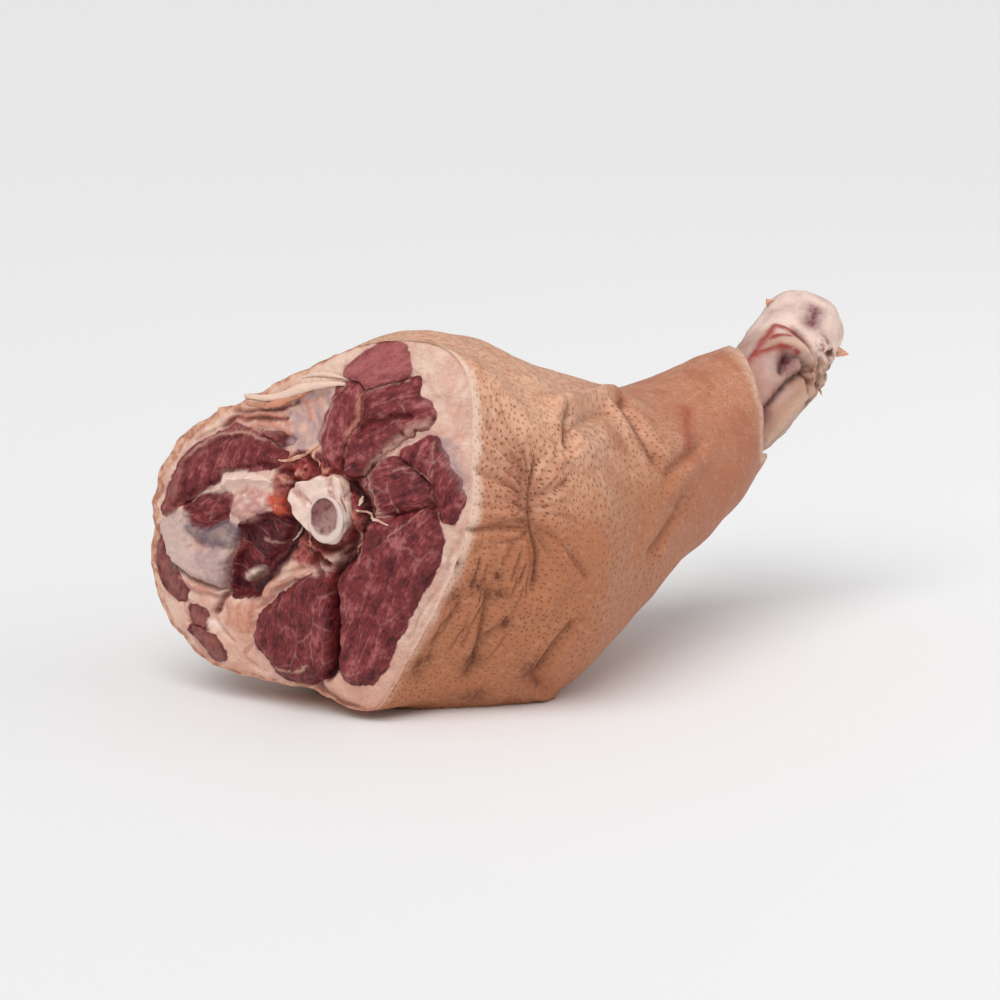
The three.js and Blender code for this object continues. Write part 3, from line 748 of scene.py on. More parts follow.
def rind_relief(share, angle):
    """How deep the rind lies under its plain form, how much painted shade lies in its creases, and how much
    it is stained and flushed.
    """
    girth = section_radius(leg_section(share), angle)
    plain = leg_points(share, angle, np.zeros_like(share))
    depth, crease = np.zeros((2, len(share)))
    hollow, core, lip = FOLD_SHARES
    for deep, half, dark, line in RIND_FOLDS:
        apart = skin_distance(share, angle, girth, line)
        lips = bell(apart - FOLD_LIP * half, half)
        depth += deep * (hollow * bell(apart, half) + core * bell(apart, FOLD_CORE) - lip * lips)
        # Painted shade along the middle of the fold
        crease = np.maximum(crease, dark * bell(apart, FOLD_SHADE))
    for deep, half, dark, line in flank_wrinkles():
        apart = skin_distance(share, angle, girth, line)
        depth += deep * bell(apart, half)
        # Painted shade along the wrinkle
        crease = np.maximum(crease, dark * bell(apart, WRINKLE_SHADE))
    for high, half, line in RIND_RIDGES:
        depth -= high * bell(skin_distance(share, angle, girth, line), half)
    depth -= waves(plain, RIND_WAVES)
    limit = FOLD_LIMIT * fat_depth(share, angle)
    depth = np.where(depth > 0, limit * np.tanh(depth / limit), depth)
    streak = skin_distance(share, angle, girth, RED_STREAK) + 1.5 * noise(plain, 5, 28)
    shank = smooth_step(share, *SHANK_SKIN)
    fields = {
        "crease": crease,
        "stain": spots_near(share, angle, girth, RIND_STAINS),
        "blush": np.maximum(0.6 * spots_near(share, angle, girth, RIND_BLUSHES), 0.75 * shank),
        "streak": bell(np.maximum(streak, 0), RED_STREAK_HALF),
        "bleed": around(FAT_OVER_RIM, angle) * smooth_drop(share, RIM_SHARE, BLEED_END),
        "taper": smooth_step(share, *PORE_TAPER),
        "smooth": 0.6 * shank,
        "skin": skin_places(share, angle),
    }
    return depth, fields


def skin_places(share, angle):
    """Flat places over the rind in metres, which keep the pores round as the leg tapers."""
    steps = np.linspace(0, 1.05, 200)
    girth = section_radius(leg_section(steps), np.full(200, math.pi / 4))
    run = np.concatenate([[0], np.cumsum(LEG_LENGTH * np.diff(steps) / girth[1:])])
    flat = np.column_stack([np.interp(share, steps, run), angle, np.zeros_like(share)])
    return flat * girth[0] * MM


def spots_near(share, angle, girth, spots):
    """How strongly round spots show on the rind."""
    strength = np.zeros_like(share)
    for spot_share, degrees, size in spots:
        along = (share - spot_share) * LEG_LENGTH
        across = (angle - math.radians(degrees)) * girth
        strength = np.maximum(strength, bell(np.hypot(along, across), size))
    return strength


def muscle_fields(places, spots):
    """How far the muscles swell, and where lean shows, how pale it is, how its fibres run and how much
    painted shade lies in the seams between them.
    """
    nearest, second = np.full((2, len(places)), float(FACE_REACH))
    swollen, tone, grain = np.zeros((3, len(places)))
    for swell, muscle_tone, degrees, outline in MUSCLES.values():
        apart = outline_distance(spots, outline) - LEAN_GROWTH
        swollen += swell * smooth_step(-apart, 0, FORM_EDGE)
        closer = apart < nearest
        second = np.where(closer, nearest, np.minimum(second, apart))
        nearest = np.minimum(nearest, apart)
        tone[closer] = muscle_tone
        grain[closer] = math.radians(degrees)
    lean = smooth_drop(nearest, *LEAN_EDGE)
    seam_half, seam_depth, seam_shade = SEAM
    # Painted shade along the seams between muscles
    seam = bell(second - nearest, seam_half) * smooth_drop(nearest, *SEAM_EDGE)
    run = places[:, 0] * np.cos(grain) + places[:, 1] * np.sin(grain)
    over = places[:, 1] * np.cos(grain) - places[:, 0] * np.sin(grain)
    fibre = np.column_stack([run, over, np.zeros(len(places))])
    grained = 0.9 * noise(fibre / (12, 3, 1), 1, 8) + 0.35 * noise(fibre / (5, 1.5, 1), 1, 9)
    uneven = lean * (1.1 * noise(places, 16, 29) + grained) + (1 - lean) * waves(places, FAT_WAVES)
    fields = {
        "lean": lean,
        "near": np.exp(-np.maximum(nearest, 0) / NEAR_FADE),
        "tone": tone,
        "fibre": fibre * MM,
        "dark": seam_shade * seam,
    }
    return swollen + uneven - seam_depth * seam, fields


def tissue_fields(places, spots):
    """How far other tissue swells, and where each kind shows."""
    swollen = np.zeros(len(places))
    fields = {kind: np.zeros(len(places)) for kind in TISSUE_KINDS}
    for kind, swell, outline in TISSUES:
        apart = outline_distance(spots, outline)
        swollen += swell * smooth_step(-apart, 0, FORM_EDGE)
        edge = SOFT_KINDS.get(kind, FIRM_EDGE)
        fields[kind] = np.maximum(fields[kind], smooth_step(-apart, -edge, edge))
    lump = waves(places, RAW_LUMPS)
    fields["lump"] = fields["raw"] * smooth_step(lump, 0.05, 0.5)
    return swollen + 3.2 * fields["raw"] * lump, fields


def line_fields(spots):
    """How far crevices sink and pale lines stand out, and where they show; crevices get painted shade, and
    one pale line is a painted highlight.
    """
    swollen, dark, sinew_and_highlight, streak = np.zeros((4, len(spots)))
    for deep, half, line in CREVICES:
        groove = bell(line_distance(spots, line, 20), half)
        swollen -= deep * groove
        # Painted shade in the crevices, darker as they deepen
        dark = np.maximum(dark, min(1, deep / 7) * groove)
    for half, line in PALE_LINES:
        strength = min(1, 0.3 + 0.5 * half)
        sinew_and_highlight = np.maximum(sinew_and_highlight, strength * bell(line_distance(spots, line, 12), half))
    for half, line in SALMON_STREAKS:
        streak = np.maximum(streak, bell(line_distance(spots, line, 12), half))
    return swollen + 0.4 * sinew_and_highlight + 0.8 * streak, {"dark": dark, "sinew_and_highlight": sinew_and_highlight, "streak": streak}


def face_fields(places):
    """Height of the cut face over the butt plane, and what tissue shows there."""
    shift = np.column_stack([noise(places, 9, 4), noise(places, 9, 5)])
    tremble = np.column_stack([noise(places, 3, 19), noise(places, 3, 20)])
    spots = places + 1.5 * shift + 0.8 * tremble
    angle = np.arctan2(places[:, 0], places[:, 1])
    rim = around(BUTT_RADII, angle)
    reach = np.hypot(*places.T)
    edge = rim + ragged(angle) - reach + waves(places, EDGE_WAVES)
    drop, fall = RIM_DROP
    height = BUTT_DOME * (1 - (reach / rim) ** 2) - drop * np.exp(-np.maximum(edge, 0) / fall)
    height += waves(places, FACE_WAVES)
    height += 0.8 * noise(places, 6, 23) * np.exp(-np.maximum(edge, 0) / 8)
    fields = {"skin_edge": smooth_step(around(RIND_EDGE, angle) - edge, -0.8, 0.8)}
    for swollen, part in (muscle_fields(places, spots), tissue_fields(places, spots), line_fields(spots)):
        height += swollen
        for key, values in part.items():
            fields[key] = np.maximum(fields[key], values) if key in fields else values
    return np.maximum(height, FACE_LOWEST), fields


def hollows(height, shape):
    """How deep each point of a net lies under the mean of its neighbours, narrow and wide, from 0 to 1; the
    lean is darkened by it as painted shade.
    """
    net = height.reshape(shape)
    mean = net
    total = np.zeros(shape)
    for step in range(1, HOLLOW_STEPS[-1] + 1):
        wide = np.pad(mean, 1, mode="edge")
        mean = (wide[2:, 1:-1] + wide[:-2, 1:-1] + wide[1:-1, 2:] + wide[1:-1, :-2]) / 4
        if step in HOLLOW_STEPS:
            total += np.clip((mean - net) / (0.2 * step), 0, 1)
    return np.minimum(total, 1).ravel()


# Section at the butt, whose plane carries the cut face
BUTT = leg_section(np.zeros(1))


def butt_points(places, height):
    """Points over the butt plane, at places across and up."""
    points = BUTT.middle + places[:, :1] * BUTT.near + places[:, 1:] * BUTT.upward
    return points - height[:, None] * BUTT.along


def butt_places(angle, depth):
    """Places on the butt plane at depths inside its rim."""
    radius = leg_radius(np.zeros_like(angle), angle) - depth
    return np.column_stack([radius * np.sin(angle), radius * np.cos(angle)])


def shank_frame(share):
    """Middle, half sizes and directions of the shank bone at shares of its length."""
    rows = along_rows(SHANK_SECTIONS, share)
    ahead = along_rows(SHANK_SECTIONS, np.minimum(share + 0.02, 1))[..., :3]
    behind = along_rows(SHANK_SECTIONS, np.maximum(share - 0.02, 0))[..., :3]
    along = ahead - behind
    along = along / np.linalg.norm(along, axis=-1, keepdims=True)
    near = np.cross(along, (0, 0, 1))
    near = near / np.linalg.norm(near, axis=-1, keepdims=True)
    return rows, along, near, np.cross(near, along)


def shank_points(share, angle, grow):
    """Points of the shank bone, grown outwards by some millimetres."""
    rows, _, near, upward = shank_frame(share)
    wide = (rows[:, 3] + grow) * np.sin(angle)
    tall = (rows[:, 4] + grow) * np.cos(angle)
    return rows[:, :3] + wide[:, None] * near + tall[:, None] * upward


def full_ring(value, angles):
    """The same value for every angle of a ring."""
    return np.full(len(angles), float(value))


def ring_quads(rings, sides, looped=False):
    """Quads between rings of points that follow each other."""
    spans = rings if looped else rings - 1
    ring, side = np.meshgrid(np.arange(spans), np.arange(sides), indexing="ij")
    turn = (side + 1) % sides
    here = ring * sides
    ahead = (ring + 1) % rings * sides
    return np.stack([here + side, here + turn, ahead + turn, ahead + side], -1).reshape(-1, 4)


def piece(name, points, faces, materials, fields, face_material=None):
    """A closed mesh in metres, with its faces outwards and its fields as attributes."""
    mesh = bpy.data.meshes.new(name)
    mesh.from_pydata((np.asarray(points) * MM).tolist(), [], faces)
    for material in materials:
        mesh.materials.append(material)
    if face_material is not None:
        mesh.polygons.foreach_set("material_index", face_material)
    for key, values in fields.items():
        if values.ndim == 2:
            mesh.attributes.new(key, "FLOAT_VECTOR", "POINT").data.foreach_set("vector", values.ravel())
        else:
            mesh.attributes.new(key, "FLOAT", "POINT").data.foreach_set("value", values)
    shell = bmesh.new()
    shell.from_mesh(mesh)
    bmesh.ops.recalc_face_normals(shell, faces=shell.faces)
    shell.to_mesh(mesh)
    shell.free()
    mesh.shade_smooth()
    made = bpy.data.objects.new(name, mesh)
    bpy.context.scene.collection.objects.link(made)
    return made


def settle(made, node):
    """The piece hangs under the root and stands in for its solid, which is hidden."""
    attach(made, "root")
    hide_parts(node)


class Wire:
    """A socket of a material's nodes, on which Python's operators add Math nodes."""

    def __init__(self, tree, socket=None):
        self.tree = tree
        self.socket = socket

    def node(self, kind, settings=None, sockets=None, output=0):
        """Adds a node, gives it its settings and then its sockets, and returns one of its outputs."""
        made = self.tree.nodes.new(kind)
        for name, value in (settings or {}).items():
            setattr(made, name, value)
        for name, value in (sockets or {}).items():
            target = made.inputs[name]
            if isinstance(value, Wire):
                self.tree.links.new(value.socket, target)
            elif target.type == "RGBA":
                target.default_value = (*value[:3], 1)
            else:
                target.default_value = value
        return Wire(self.tree, made.outputs[output] if made.outputs else None)

    def math(self, operation, *values):
        """Adds a Math node."""
        return self.node("ShaderNodeMath", {"operation": operation}, dict(enumerate(values)))

    def __add__(self, other):
        return self.math("ADD", self, other)

    def __radd__(self, other):
        return self.math("ADD", other, self)

    def __sub__(self, other):
        return self.math("SUBTRACT", self, other)

    def __rsub__(self, other):
        return self.math("SUBTRACT", other, self)

    def __mul__(self, other):
        return self.math("MULTIPLY", self, other)

    def __rmul__(self, other):
        return self.math("MULTIPLY", other, self)

    def clipped(self):
        """This value kept from 0 to 1."""
        return self.math("MINIMUM", self.math("MAXIMUM", self, 0.0), 1.0)

    def step(self, low, high):
        """0 below low, 1 above high, and smooth between."""
        sockets = {"Value": self, "From Min": low, "From Max": high}
        return self.node("ShaderNodeMapRange", {"interpolation_type": "SMOOTHSTEP"}, sockets)

    def blend(self, first, second):
        """Mixes two colours by this value."""
        return self.node("ShaderNodeMix", {"data_type": "RGBA"}, {0: self, 6: first, 7: second}, 2)

    def field(self, name):
        """Number that a mesh carries under a name."""
        return self.node("ShaderNodeAttribute", {"attribute_name": name}, output=2)

    def vector_field(self, name):
        """Vector that a mesh carries under a name."""
        return self.node("ShaderNodeAttribute", {"attribute_name": name}, output=1)

    def place(self):
        """Place on the piece in metres."""
        return self.node("ShaderNodeTexCoord", output=3)

    def stretched(self, factors):
        """This place times a factor along each axis."""
        return self.node("ShaderNodeVectorMath", {"operation": "MULTIPLY"}, {0: self, 1: factors})

    def wavy(self, size, reach):
        """This place shifted about by noise, so that lines drawn there waver."""
        sockets = {"Vector": self, "Scale": 1 / size, "Detail": 2.0}
        shift = self.node("ShaderNodeTexNoise", None, sockets, 1)
        sockets = {0: shift, 1: (reach,) * 3, 2: self}
        return self.node("ShaderNodeVectorMath", {"operation": "MULTIPLY_ADD"}, sockets)

    def height(self):
        """Height of this place."""
        return self.node("ShaderNodeSeparateXYZ", None, {0: self}, 2)

    def noise(self, size, detail=2.0, rough=0.5):
        """Noise from 0 to 1 with bumps of a size in metres, at this place."""
        sockets = {"Vector": self, "Scale": 1 / size, "Detail": detail, "Roughness": rough}
        return self.node("ShaderNodeTexNoise", None, sockets)

    def cells(self, size, feature="F1", randomness=1.0):
        """Distance in cells of a size in metres, at this place."""
        sockets = {"Vector": self, "Scale": 1 / size, "Randomness": randomness}
        return self.node("ShaderNodeTexVoronoi", {"feature": feature, "voronoi_dimensions": "2D"}, sockets)


def new_material(name):
    """An empty material and a wire to add its nodes with."""
    material = bpy.data.materials.new(name)
    material.use_nodes = True
    tree = material.node_tree
    tree.nodes.clear()
    return material, Wire(tree)


def finish_material(wire, colour, rough, height, distance, constants):
    """Joins colour, roughness and a bump height to one shader with constant settings."""
    bump = wire.node("ShaderNodeBump", None, {"Height": height, "Distance": distance, "Strength": 1.0})
    sockets = {"Base Color": colour, "Roughness": rough, "Normal": bump}
    sockets.update(constants)
    shader = wire.node("ShaderNodeBsdfPrincipled", None, sockets)
    wire.node("ShaderNodeOutputMaterial", None, {"Surface": shader})


def soft(weight, scale):
    """Constant settings for light that passes a little way into flesh."""
    return {"Subsurface Weight": weight, "Subsurface Scale": scale, "Subsurface Radius": FLESH_RADIUS}


def pore_dots(wire, spacing, core, edge):
    """Pores, 1 in their core and 0 at their edge, with fewer columns round the thin end of the leg."""
    skin = wire.vector_field("skin")
    wide = 1 - skin.cells(spacing, randomness=PORE_SCATTER).step(core, edge)
    skin = skin.stretched(PORE_STRETCH)
    thin = 1 - skin.cells(PORE_GROWTH * spacing, randomness=PORE_SCATTER).step(core, edge)
    return wide + wire.field("taper") * (thin - wide)


def rind_material(rind, cut):
    """Moist tan rind with brown pores, painted shade in its creases, stains, red blotches and cream fat at
    its rim; it turns paler with height, partly its own tone and partly painted light from above.
    """
    material, wire = new_material("rind")
    place = wire.place()
    cloud = place.noise(0.045, 3.0)
    mottle = place.noise(0.005, 4.0, 0.65)
    smudge = place.noise(0.004, 3.0, 0.7).step(0.35, 0.65)
    # Paler on top and darker low down: partly the rind's own tone, partly painted light from above and
    # painted shade below
    colour = (place.height() + (cloud - 0.5) * 0.08).step(0.1, 0.19).blend(rind.low_tone_and_shade_colour, rind.top_tone_and_light_colour)
    flush = place.noise(0.018, 3.0).step(0.45, 0.7) * 0.35 + wire.field("blush")
    colour = (flush.clipped() * 0.9).blend(colour, rind.flush_colour)
    colour = (mottle.step(0.42, 0.7) * 0.6).blend(colour, rind.low_tone_and_shade_colour)
    colour = (mottle.step(0.5, 0.25) * 0.3).blend(colour, rind.top_tone_and_light_colour)
    bleed = wire.field("bleed") + (place.noise(0.011, 3.0) - 0.5) * 0.7
    colour = (bleed.step(0.1, 1.0) * 0.9).blend(colour, cut.fat_colour)
    plain = 1 - (wire.field("smooth") + wire.field("bleed") * 0.6).clipped()
    seen = (0.5 + cloud.step(0.3, 0.7) * 0.5) * plain
    halos = pore_dots(wire, rind.pore_spacing, 0.1, 0.45) * seen
    dots = pore_dots(wire, rind.pore_spacing, 0.05, 0.23) * seen
    colour = (halos * 0.22).blend(colour, rind.flush_colour)
    colour = (dots * 0.62).blend(colour, rind.pore_colour)
    colour = (wire.field("streak") * (0.45 + smudge * 0.5)).blend(colour, rind.streak_colour)
    colour = (wire.field("stain") * (0.3 + smudge * 0.7)).blend(colour, rind.crease_shade_and_stain_colour)
    # Painted shade in the creases and wrinkles
    colour = (wire.field("crease") * 0.85).clipped().blend(colour, rind.crease_shade_and_stain_colour)
    colour = (wire.field("edge") * (0.3 + smudge * 0.4)).blend(colour, cut.fat_colour)
    rough = 0.42 + mottle * 0.2
    relief = place.noise(0.0022, 3.0) * 0.6 + mottle * 0.8 - dots * 1.1
    finish_material(wire, colour, rough, relief, 0.0008, {**soft(0.1, 0.003), "Specular IOR Level": 0.4})
    return material


def fat_shade(cut, wire, place, fleck):
    """Cream fat with pink clouds, warmer low down, orange in streaks and reddish next to the lean."""
    patch = place.noise(0.02, 2.0)
    curd = place.noise(0.006, 3.0, 0.6)
    fat = patch.step(0.35, 0.7).blend(cut.fat_colour, cut.pink_fat_colour)
    warm = (place.height() + (patch - 0.5) * 0.05).step(0.07, 0.01)
    fat = (warm * 0.55).blend(fat, cut.orange_fat_colour)
    fat = (place.noise(0.013, 3.0, 0.6).step(0.52, 0.7) * 0.5).blend(fat, cut.white_colour)
    fat = (wire.field("orange") * patch.step(0.2, 0.6) * 0.75).blend(fat, cut.orange_fat_colour)
    fat = (curd.step(0.5, 0.75) * 0.5).blend(fat, cut.pink_fat_colour)
    vein = place.wavy(0.012, 0.012).cells(0.017, "DISTANCE_TO_EDGE")
    streaks = (1 - vein.step(0.0, 0.09)) * patch.step(0.4, 0.6)
    fat = (streaks * 0.35 + fleck.step(0.6, 0.8) * 0.3).blend(fat, cut.orange_fat_colour)
    tinge = wire.field("near") * curd.step(0.35, 0.65)
    return (tinge * 0.55).blend(fat, cut.membrane_colour)


def lean_shade(cut, wire, place, fine, fleck):
    """Red lean, darker and paler in clouds and along its grain, with a thin pale web."""
    fibre = wire.vector_field("fibre")
    bundle = fibre.stretched((0.28, 1.0, 1.0)).noise(0.005, 2.0)
    cloud = place.noise(0.012, 2.0)
    tone = wire.field("tone")
    meat = cloud * 0.8 + bundle * 1.0 + fine * 0.9 + fleck * 0.7 + tone * 0.35 - 1.25
    lean = meat.step(0.05, 0.5).blend(cut.dark_lean_colour, cut.lean_colour)
    lean = (meat.step(0.45, 0.9) * 0.85).blend(lean, cut.pale_lean_colour)
    lean = (tone.step(0.3, 1.0) * 0.6).blend(lean, cut.pale_lean_colour)
    web = fibre.stretched((0.45, 1.0, 1.0)).wavy(0.008, 0.006).cells(0.012, "DISTANCE_TO_EDGE")
    lines = (1 - web.step(0.0, 0.07)) * cloud.step(0.4, 0.6)
    return (lines * 0.4).blend(lean, cut.membrane_colour)


def tissue_shade(cut, wire, place, fleck, colour):
    """Raw tissue, film, cartilage, silver skin and gristle over lean and fat."""
    veil = place.noise(0.008, 3.0)
    raw = wire.field("raw")
    colour = (raw * 0.9).blend(colour, fleck.step(0.25, 0.55).blend(cut.dark_lean_colour, cut.raw_colour))
    lumps = veil.step(0.45, 0.65).blend(cut.salmon_colour, cut.pink_fat_colour)
    colour = (wire.field("lump") * fleck.step(0.3, 0.55) * 0.85).blend(colour, lumps)
    colour = (wire.field("orange") * raw * (0.4 + veil.step(0.35, 0.6) * 0.5)).blend(colour, cut.fat_colour)
    colour = (wire.field("membrane") * (0.3 + veil.step(0.35, 0.65) * 0.4)).blend(colour, cut.film_colour)
    marbling = wire.field("marbled") * place.noise(0.005, 2.0).step(0.3, 0.6)
    colour = (marbling * 0.8).blend(colour, cut.membrane_colour)
    colour = (wire.field("cartilage") * 0.85).blend(colour, cut.cartilage_colour)
    colour = (wire.field("blue") * (0.65 + veil.step(0.3, 0.6) * 0.3)).blend(colour, cut.blue_colour)
    colour = (wire.field("silver") * veil.step(0.25, 0.65) * 0.85).blend(colour, cut.silver_colour)
    colour = (wire.field("white") * 0.95).blend(colour, cut.white_colour)
    colour = (wire.field("streak") * fleck.step(0.2, 0.5) * 0.85).blend(colour, cut.salmon_colour)
    return (wire.field("blood") * fleck.step(0.2, 0.5)).blend(colour, cut.blood_colour)


def cut_material(cut, rind):
    """The cut face: lean with its grain, fat, other tissue, pale lines, painted shade in its hollows, seams
    and crevices, and the rind's edge.
    """
    material, wire = new_material("cut face")
    place = wire.place()
    fine = wire.vector_field("fibre").stretched((0.3, 1.0, 1.0)).noise(0.0014, 3.0, 0.65)
    fleck = place.noise(0.003, 3.0, 0.65)
    ragged_lean = wire.field("lean") + (fleck - 0.5) * 0.8
    lean_mask = ragged_lean.step(0.4, 0.75)
    fat = fat_shade(cut, wire, place, fleck)
    colour = (ragged_lean.step(0.15, 0.5) * 0.6).blend(fat, cut.membrane_colour)
    colour = lean_mask.blend(colour, lean_shade(cut, wire, place, fine, fleck))
    colour = tissue_shade(cut, wire, place, fleck, colour)
    # Pale lines of sinew and fat, and one painted highlight
    sinew_and_highlight = wire.field("sinew_and_highlight") * place.noise(0.006, 2.0).step(0.3, 0.5)
    colour = (sinew_and_highlight * 0.65).blend(colour, cut.pink_fat_colour)
    # Painted shade: lean darkened in its hollows
    colour = (wire.field("hollow") * lean_mask * 0.4).blend(colour, cut.dark_lean_colour)
    # Painted shade in seams and crevices: reddish on their sides, near black at their bottom
    dark = wire.field("dark")
    colour = (dark.step(0.05, 0.6) * 0.7).blend(colour, cut.crevice_shade_colour)
    colour = (dark.step(0.55, 1.0) * 0.85).blend(colour, cut.shadow_colour)
    edge = place.noise(0.006, 3.0).step(0.35, 0.65).blend(rind.top_tone_and_light_colour, rind.flush_colour)
    colour = (wire.field("skin_edge") * 0.85).blend(colour, edge)

    rough = 0.22 + fleck * 0.26 + lean_mask * 0.04
    relief = fine * lean_mask * 0.8 + fleck * 1.1
    constants = {**soft(0.08, 0.002), "Specular IOR Level": 0.32}
    finish_material(wire, colour, rough, relief, 0.0013, constants)
    return material


def tissue_material(cut, bones):
    """Loose threads and tags, from cream fat to red-brown tissue."""
    material, wire = new_material("loose tissue")
    cloud = wire.place().noise(0.004, 2.0)
    brown = wire.field("tone") + (cloud - 0.5) * 0.5
    colour = brown.step(0.15, 0.5).blend(cut.fat_colour, cut.orange_fat_colour)
    colour = brown.step(0.5, 0.85).blend(colour, bones.brown_colour)
    constants = {**soft(0.15, 0.003), "Specular IOR Level": 0.45}
    finish_material(wire, colour, 0.3 + cloud * 0.2, cloud, 0.0006, constants)
    return material


def aitch_material(bones):
    """White sawn bone with a glassy rim and a mauve marrow."""
    material, wire = new_material("aitch bone")
    place = wire.place()
    cloud = place.noise(0.009, 3.0)
    fleck = place.noise(0.0022, 3.0, 0.6)
    colour = cloud.step(0.45, 0.75).blend(bones.white_colour, bones.cream_colour)
    colour = (place.noise(0.006, 2.0).step(0.5, 0.7) * 0.4).blend(colour, bones.lavender_colour)
    colour = (wire.field("blood") * fleck.step(0.3, 0.6)).blend(colour, bones.red_colour)
    colour = (wire.field("rim") * (0.55 + cloud * 0.5)).clipped().blend(colour, bones.rim_colour)
    spongy = wire.field("pale") * 0.7 + (fleck - 0.5) * 0.9
    marrow = spongy.step(0.1, 0.6).blend(bones.marrow_colour, bones.pale_marrow_colour)
    marrow = (place.noise(0.0032, 2.0).step(0.52, 0.68) * 0.75).blend(marrow, bones.dark_marrow_colour)
    mask = (wire.field("marrow") + (fleck - 0.5) * 0.7).step(0.15, 0.85)
    colour = mask.blend(colour, marrow)
    rough = 0.28 + cloud * 0.15
    relief = fleck * (0.4 + mask)
    finish_material(wire, colour, rough, relief, 0.0006, {**soft(0.15, 0.003), "Coat Weight": 0.15})
    return material


def shank_material(bones):
    """Bared hock: white knob, lavender-tan bone, tan tendon, red streaks, and painted shade in its furrows
    and ragged gaps.
    """
    material, wire = new_material("shank bone")
    place = wire.place()
    cloud = place.noise(0.011, 3.0)
    fleck = place.noise(0.003, 3.0, 0.6)
    rag = fleck.step(0.35, 0.65)
    knob = (cloud.step(0.4, 0.8) * 0.85).blend(bones.white_colour, bones.lavender_colour)
    bare = cloud.step(0.35, 0.7).blend(bones.bare_colour, bones.lavender_colour)
    colour = wire.field("knob").blend(bare, knob)
    colour = (wire.field("tendon") * (0.65 + fleck * 0.5)).clipped().blend(colour, bones.tendon_colour)
    colour = (wire.field("blush") * cloud.step(0.3, 0.6) * 0.8).blend(colour, bones.pink_colour)
    colour = (wire.field("bruise") * (0.7 + rag * 0.3)).blend(colour, bones.bruise_colour)
    torn = wire.field("ragged") * place.noise(0.006, 3.0, 0.6).step(0.4, 0.6)
    colour = (torn * 0.9).blend(colour, bones.brown_colour)
    colour = (wire.field("tan") * (0.5 + rag * 0.4)).blend(colour, bones.ligament_colour)
    colour = (wire.field("blood") * fleck.step(0.15, 0.45)).blend(colour, bones.red_colour)
    # Painted shade in the furrows and ragged gaps
    colour = (wire.field("dark") * 0.9).blend(colour, bones.shadow_colour)
    rough = 0.3 + fleck * 0.2
    finish_material(wire, colour, rough, fleck, 0.0007, {**soft(0.08, 0.002), "Specular IOR Level": 0.3})
    return material


def floor_material(stage):
    """Plain pale floor."""
    material, wire = new_material("floor")
    speck = wire.place().noise(0.4, 1.0)
    colour = (speck * 0.1).blend(stage.floor_colour, FLOOR_SPECK)
    finish_material(wire, colour, 0.6 + speck * 0.1, speck, 0.0001, {"Specular IOR Level": 0.1})
    return material


def named_materials(context):
    """The materials of the leg, made once."""
    leg = context.scene.pork_leg
    makers = {
        "rind": lambda: rind_material(leg.rind, leg.cut),
        "cut face": lambda: cut_material(leg.cut, leg.rind),
        "aitch bone": lambda: aitch_material(leg.bones),
        "shank bone": lambda: shank_material(leg.bones),
        "loose tissue": lambda: tissue_material(leg.cut, leg.bones),
    }
    return {name: bpy.data.materials.get(name) or make() for name, make in makers.items()}


def joined(rows):
    """Fields of several sets of points as one set, with 0 where a set lacks a field."""
    keys = {key: values for fields, _ in rows for key, values in fields.items()}
    result = {}
    for key, sample in keys.items():
        tail = sample.shape[1:]
        result[key] = np.concatenate([fields.get(key, np.zeros((count, *tail))) for fields, count in rows])
    return result


def cuff_reach(angles):
    """How far the torn edge of the cuff stands past its plain end, with a tongue low down."""
    wave = CUFF_WAVE * noise(np.column_stack([np.cos(angles), np.sin(angles)]), 0.45, 12)
    return wave + CUFF_TONGUE * bell(np.degrees(angles) - CUFF_TONGUE_ANGLE, CUFF_TONGUE_HALF)


def inner_rings(angles, wave):
    """Rings from the cuff's edge down to the bone and back along the lean."""
    rings = []
    for reach, deep in CUFF_EDGE:
        rings.append(leg_points(1 + wave + reach, angles, full_ring(deep, angles)))
    for rise, thick in CUFF_WALL:
        here = full_ring(mix(CUFF_FLOOR, 1, rise), angles)
        rings.append(leg_points(here, angles, full_ring(thick * CUFF_RIND, angles)))
    for reach in (SHANK_FLOOR, SHANK_LEAN):
        rings.append(shank_points(full_ring(reach, angles), angles, CLEARANCE))
    for reach in np.linspace(LEAN_END, WALL_START, FAT_WALL_RINGS):
        here = full_ring(reach, angles)
        rings.append(leg_points(here, angles, fat_depth(here, angles)))
    return rings


def rind_skin(rings, angles, wave, torn):
    """Points of the rind from the rim to the cuff, and its fields."""
    shares = crowded(0, 1, rings + 1, *FINE_ALONG)
    share = mix(RIM_SHARE, 1 + wave[None], shares[:, None]).ravel()
    angle = np.tile(angles, len(shares))
    depth, fields = rind_relief(np.minimum(share, 1), angle)
    fields["edge"] = np.repeat(smooth_step(shares, *CUFF_PALE), len(angles))
    fade = smooth_step(share, RIM_SHARE, RIM_FADE)
    depth = depth * mix(RIM_RELIEF, 1, fade) - np.tile(torn, len(shares)) * (1 - fade)
    points = leg_points(share, angle, depth)
    points[points[:, 2] < FLAT_UNDER, 2] = 0
    return points, fields


def fat_face(angles, torn):
    """Points of the cut fat from the lean to the rim, and its fields."""
    sides = len(angles)
    fat = fat_depth(np.zeros(sides), angles) + FAT_OVERLAP
    depths = [mix(FAT_FACE_RIM, fat, inward) - torn * (1 - inward) ** 2 for inward in FAT_FACE_SHARES]
    places = np.concatenate([butt_places(angles, deep) for deep in depths])
    height, fields = face_fields(places)
    fields["hollow"] = hollows(height, (len(depths), sides))
    height[:sides] -= FAT_SUNK
    return butt_points(places, height), fields


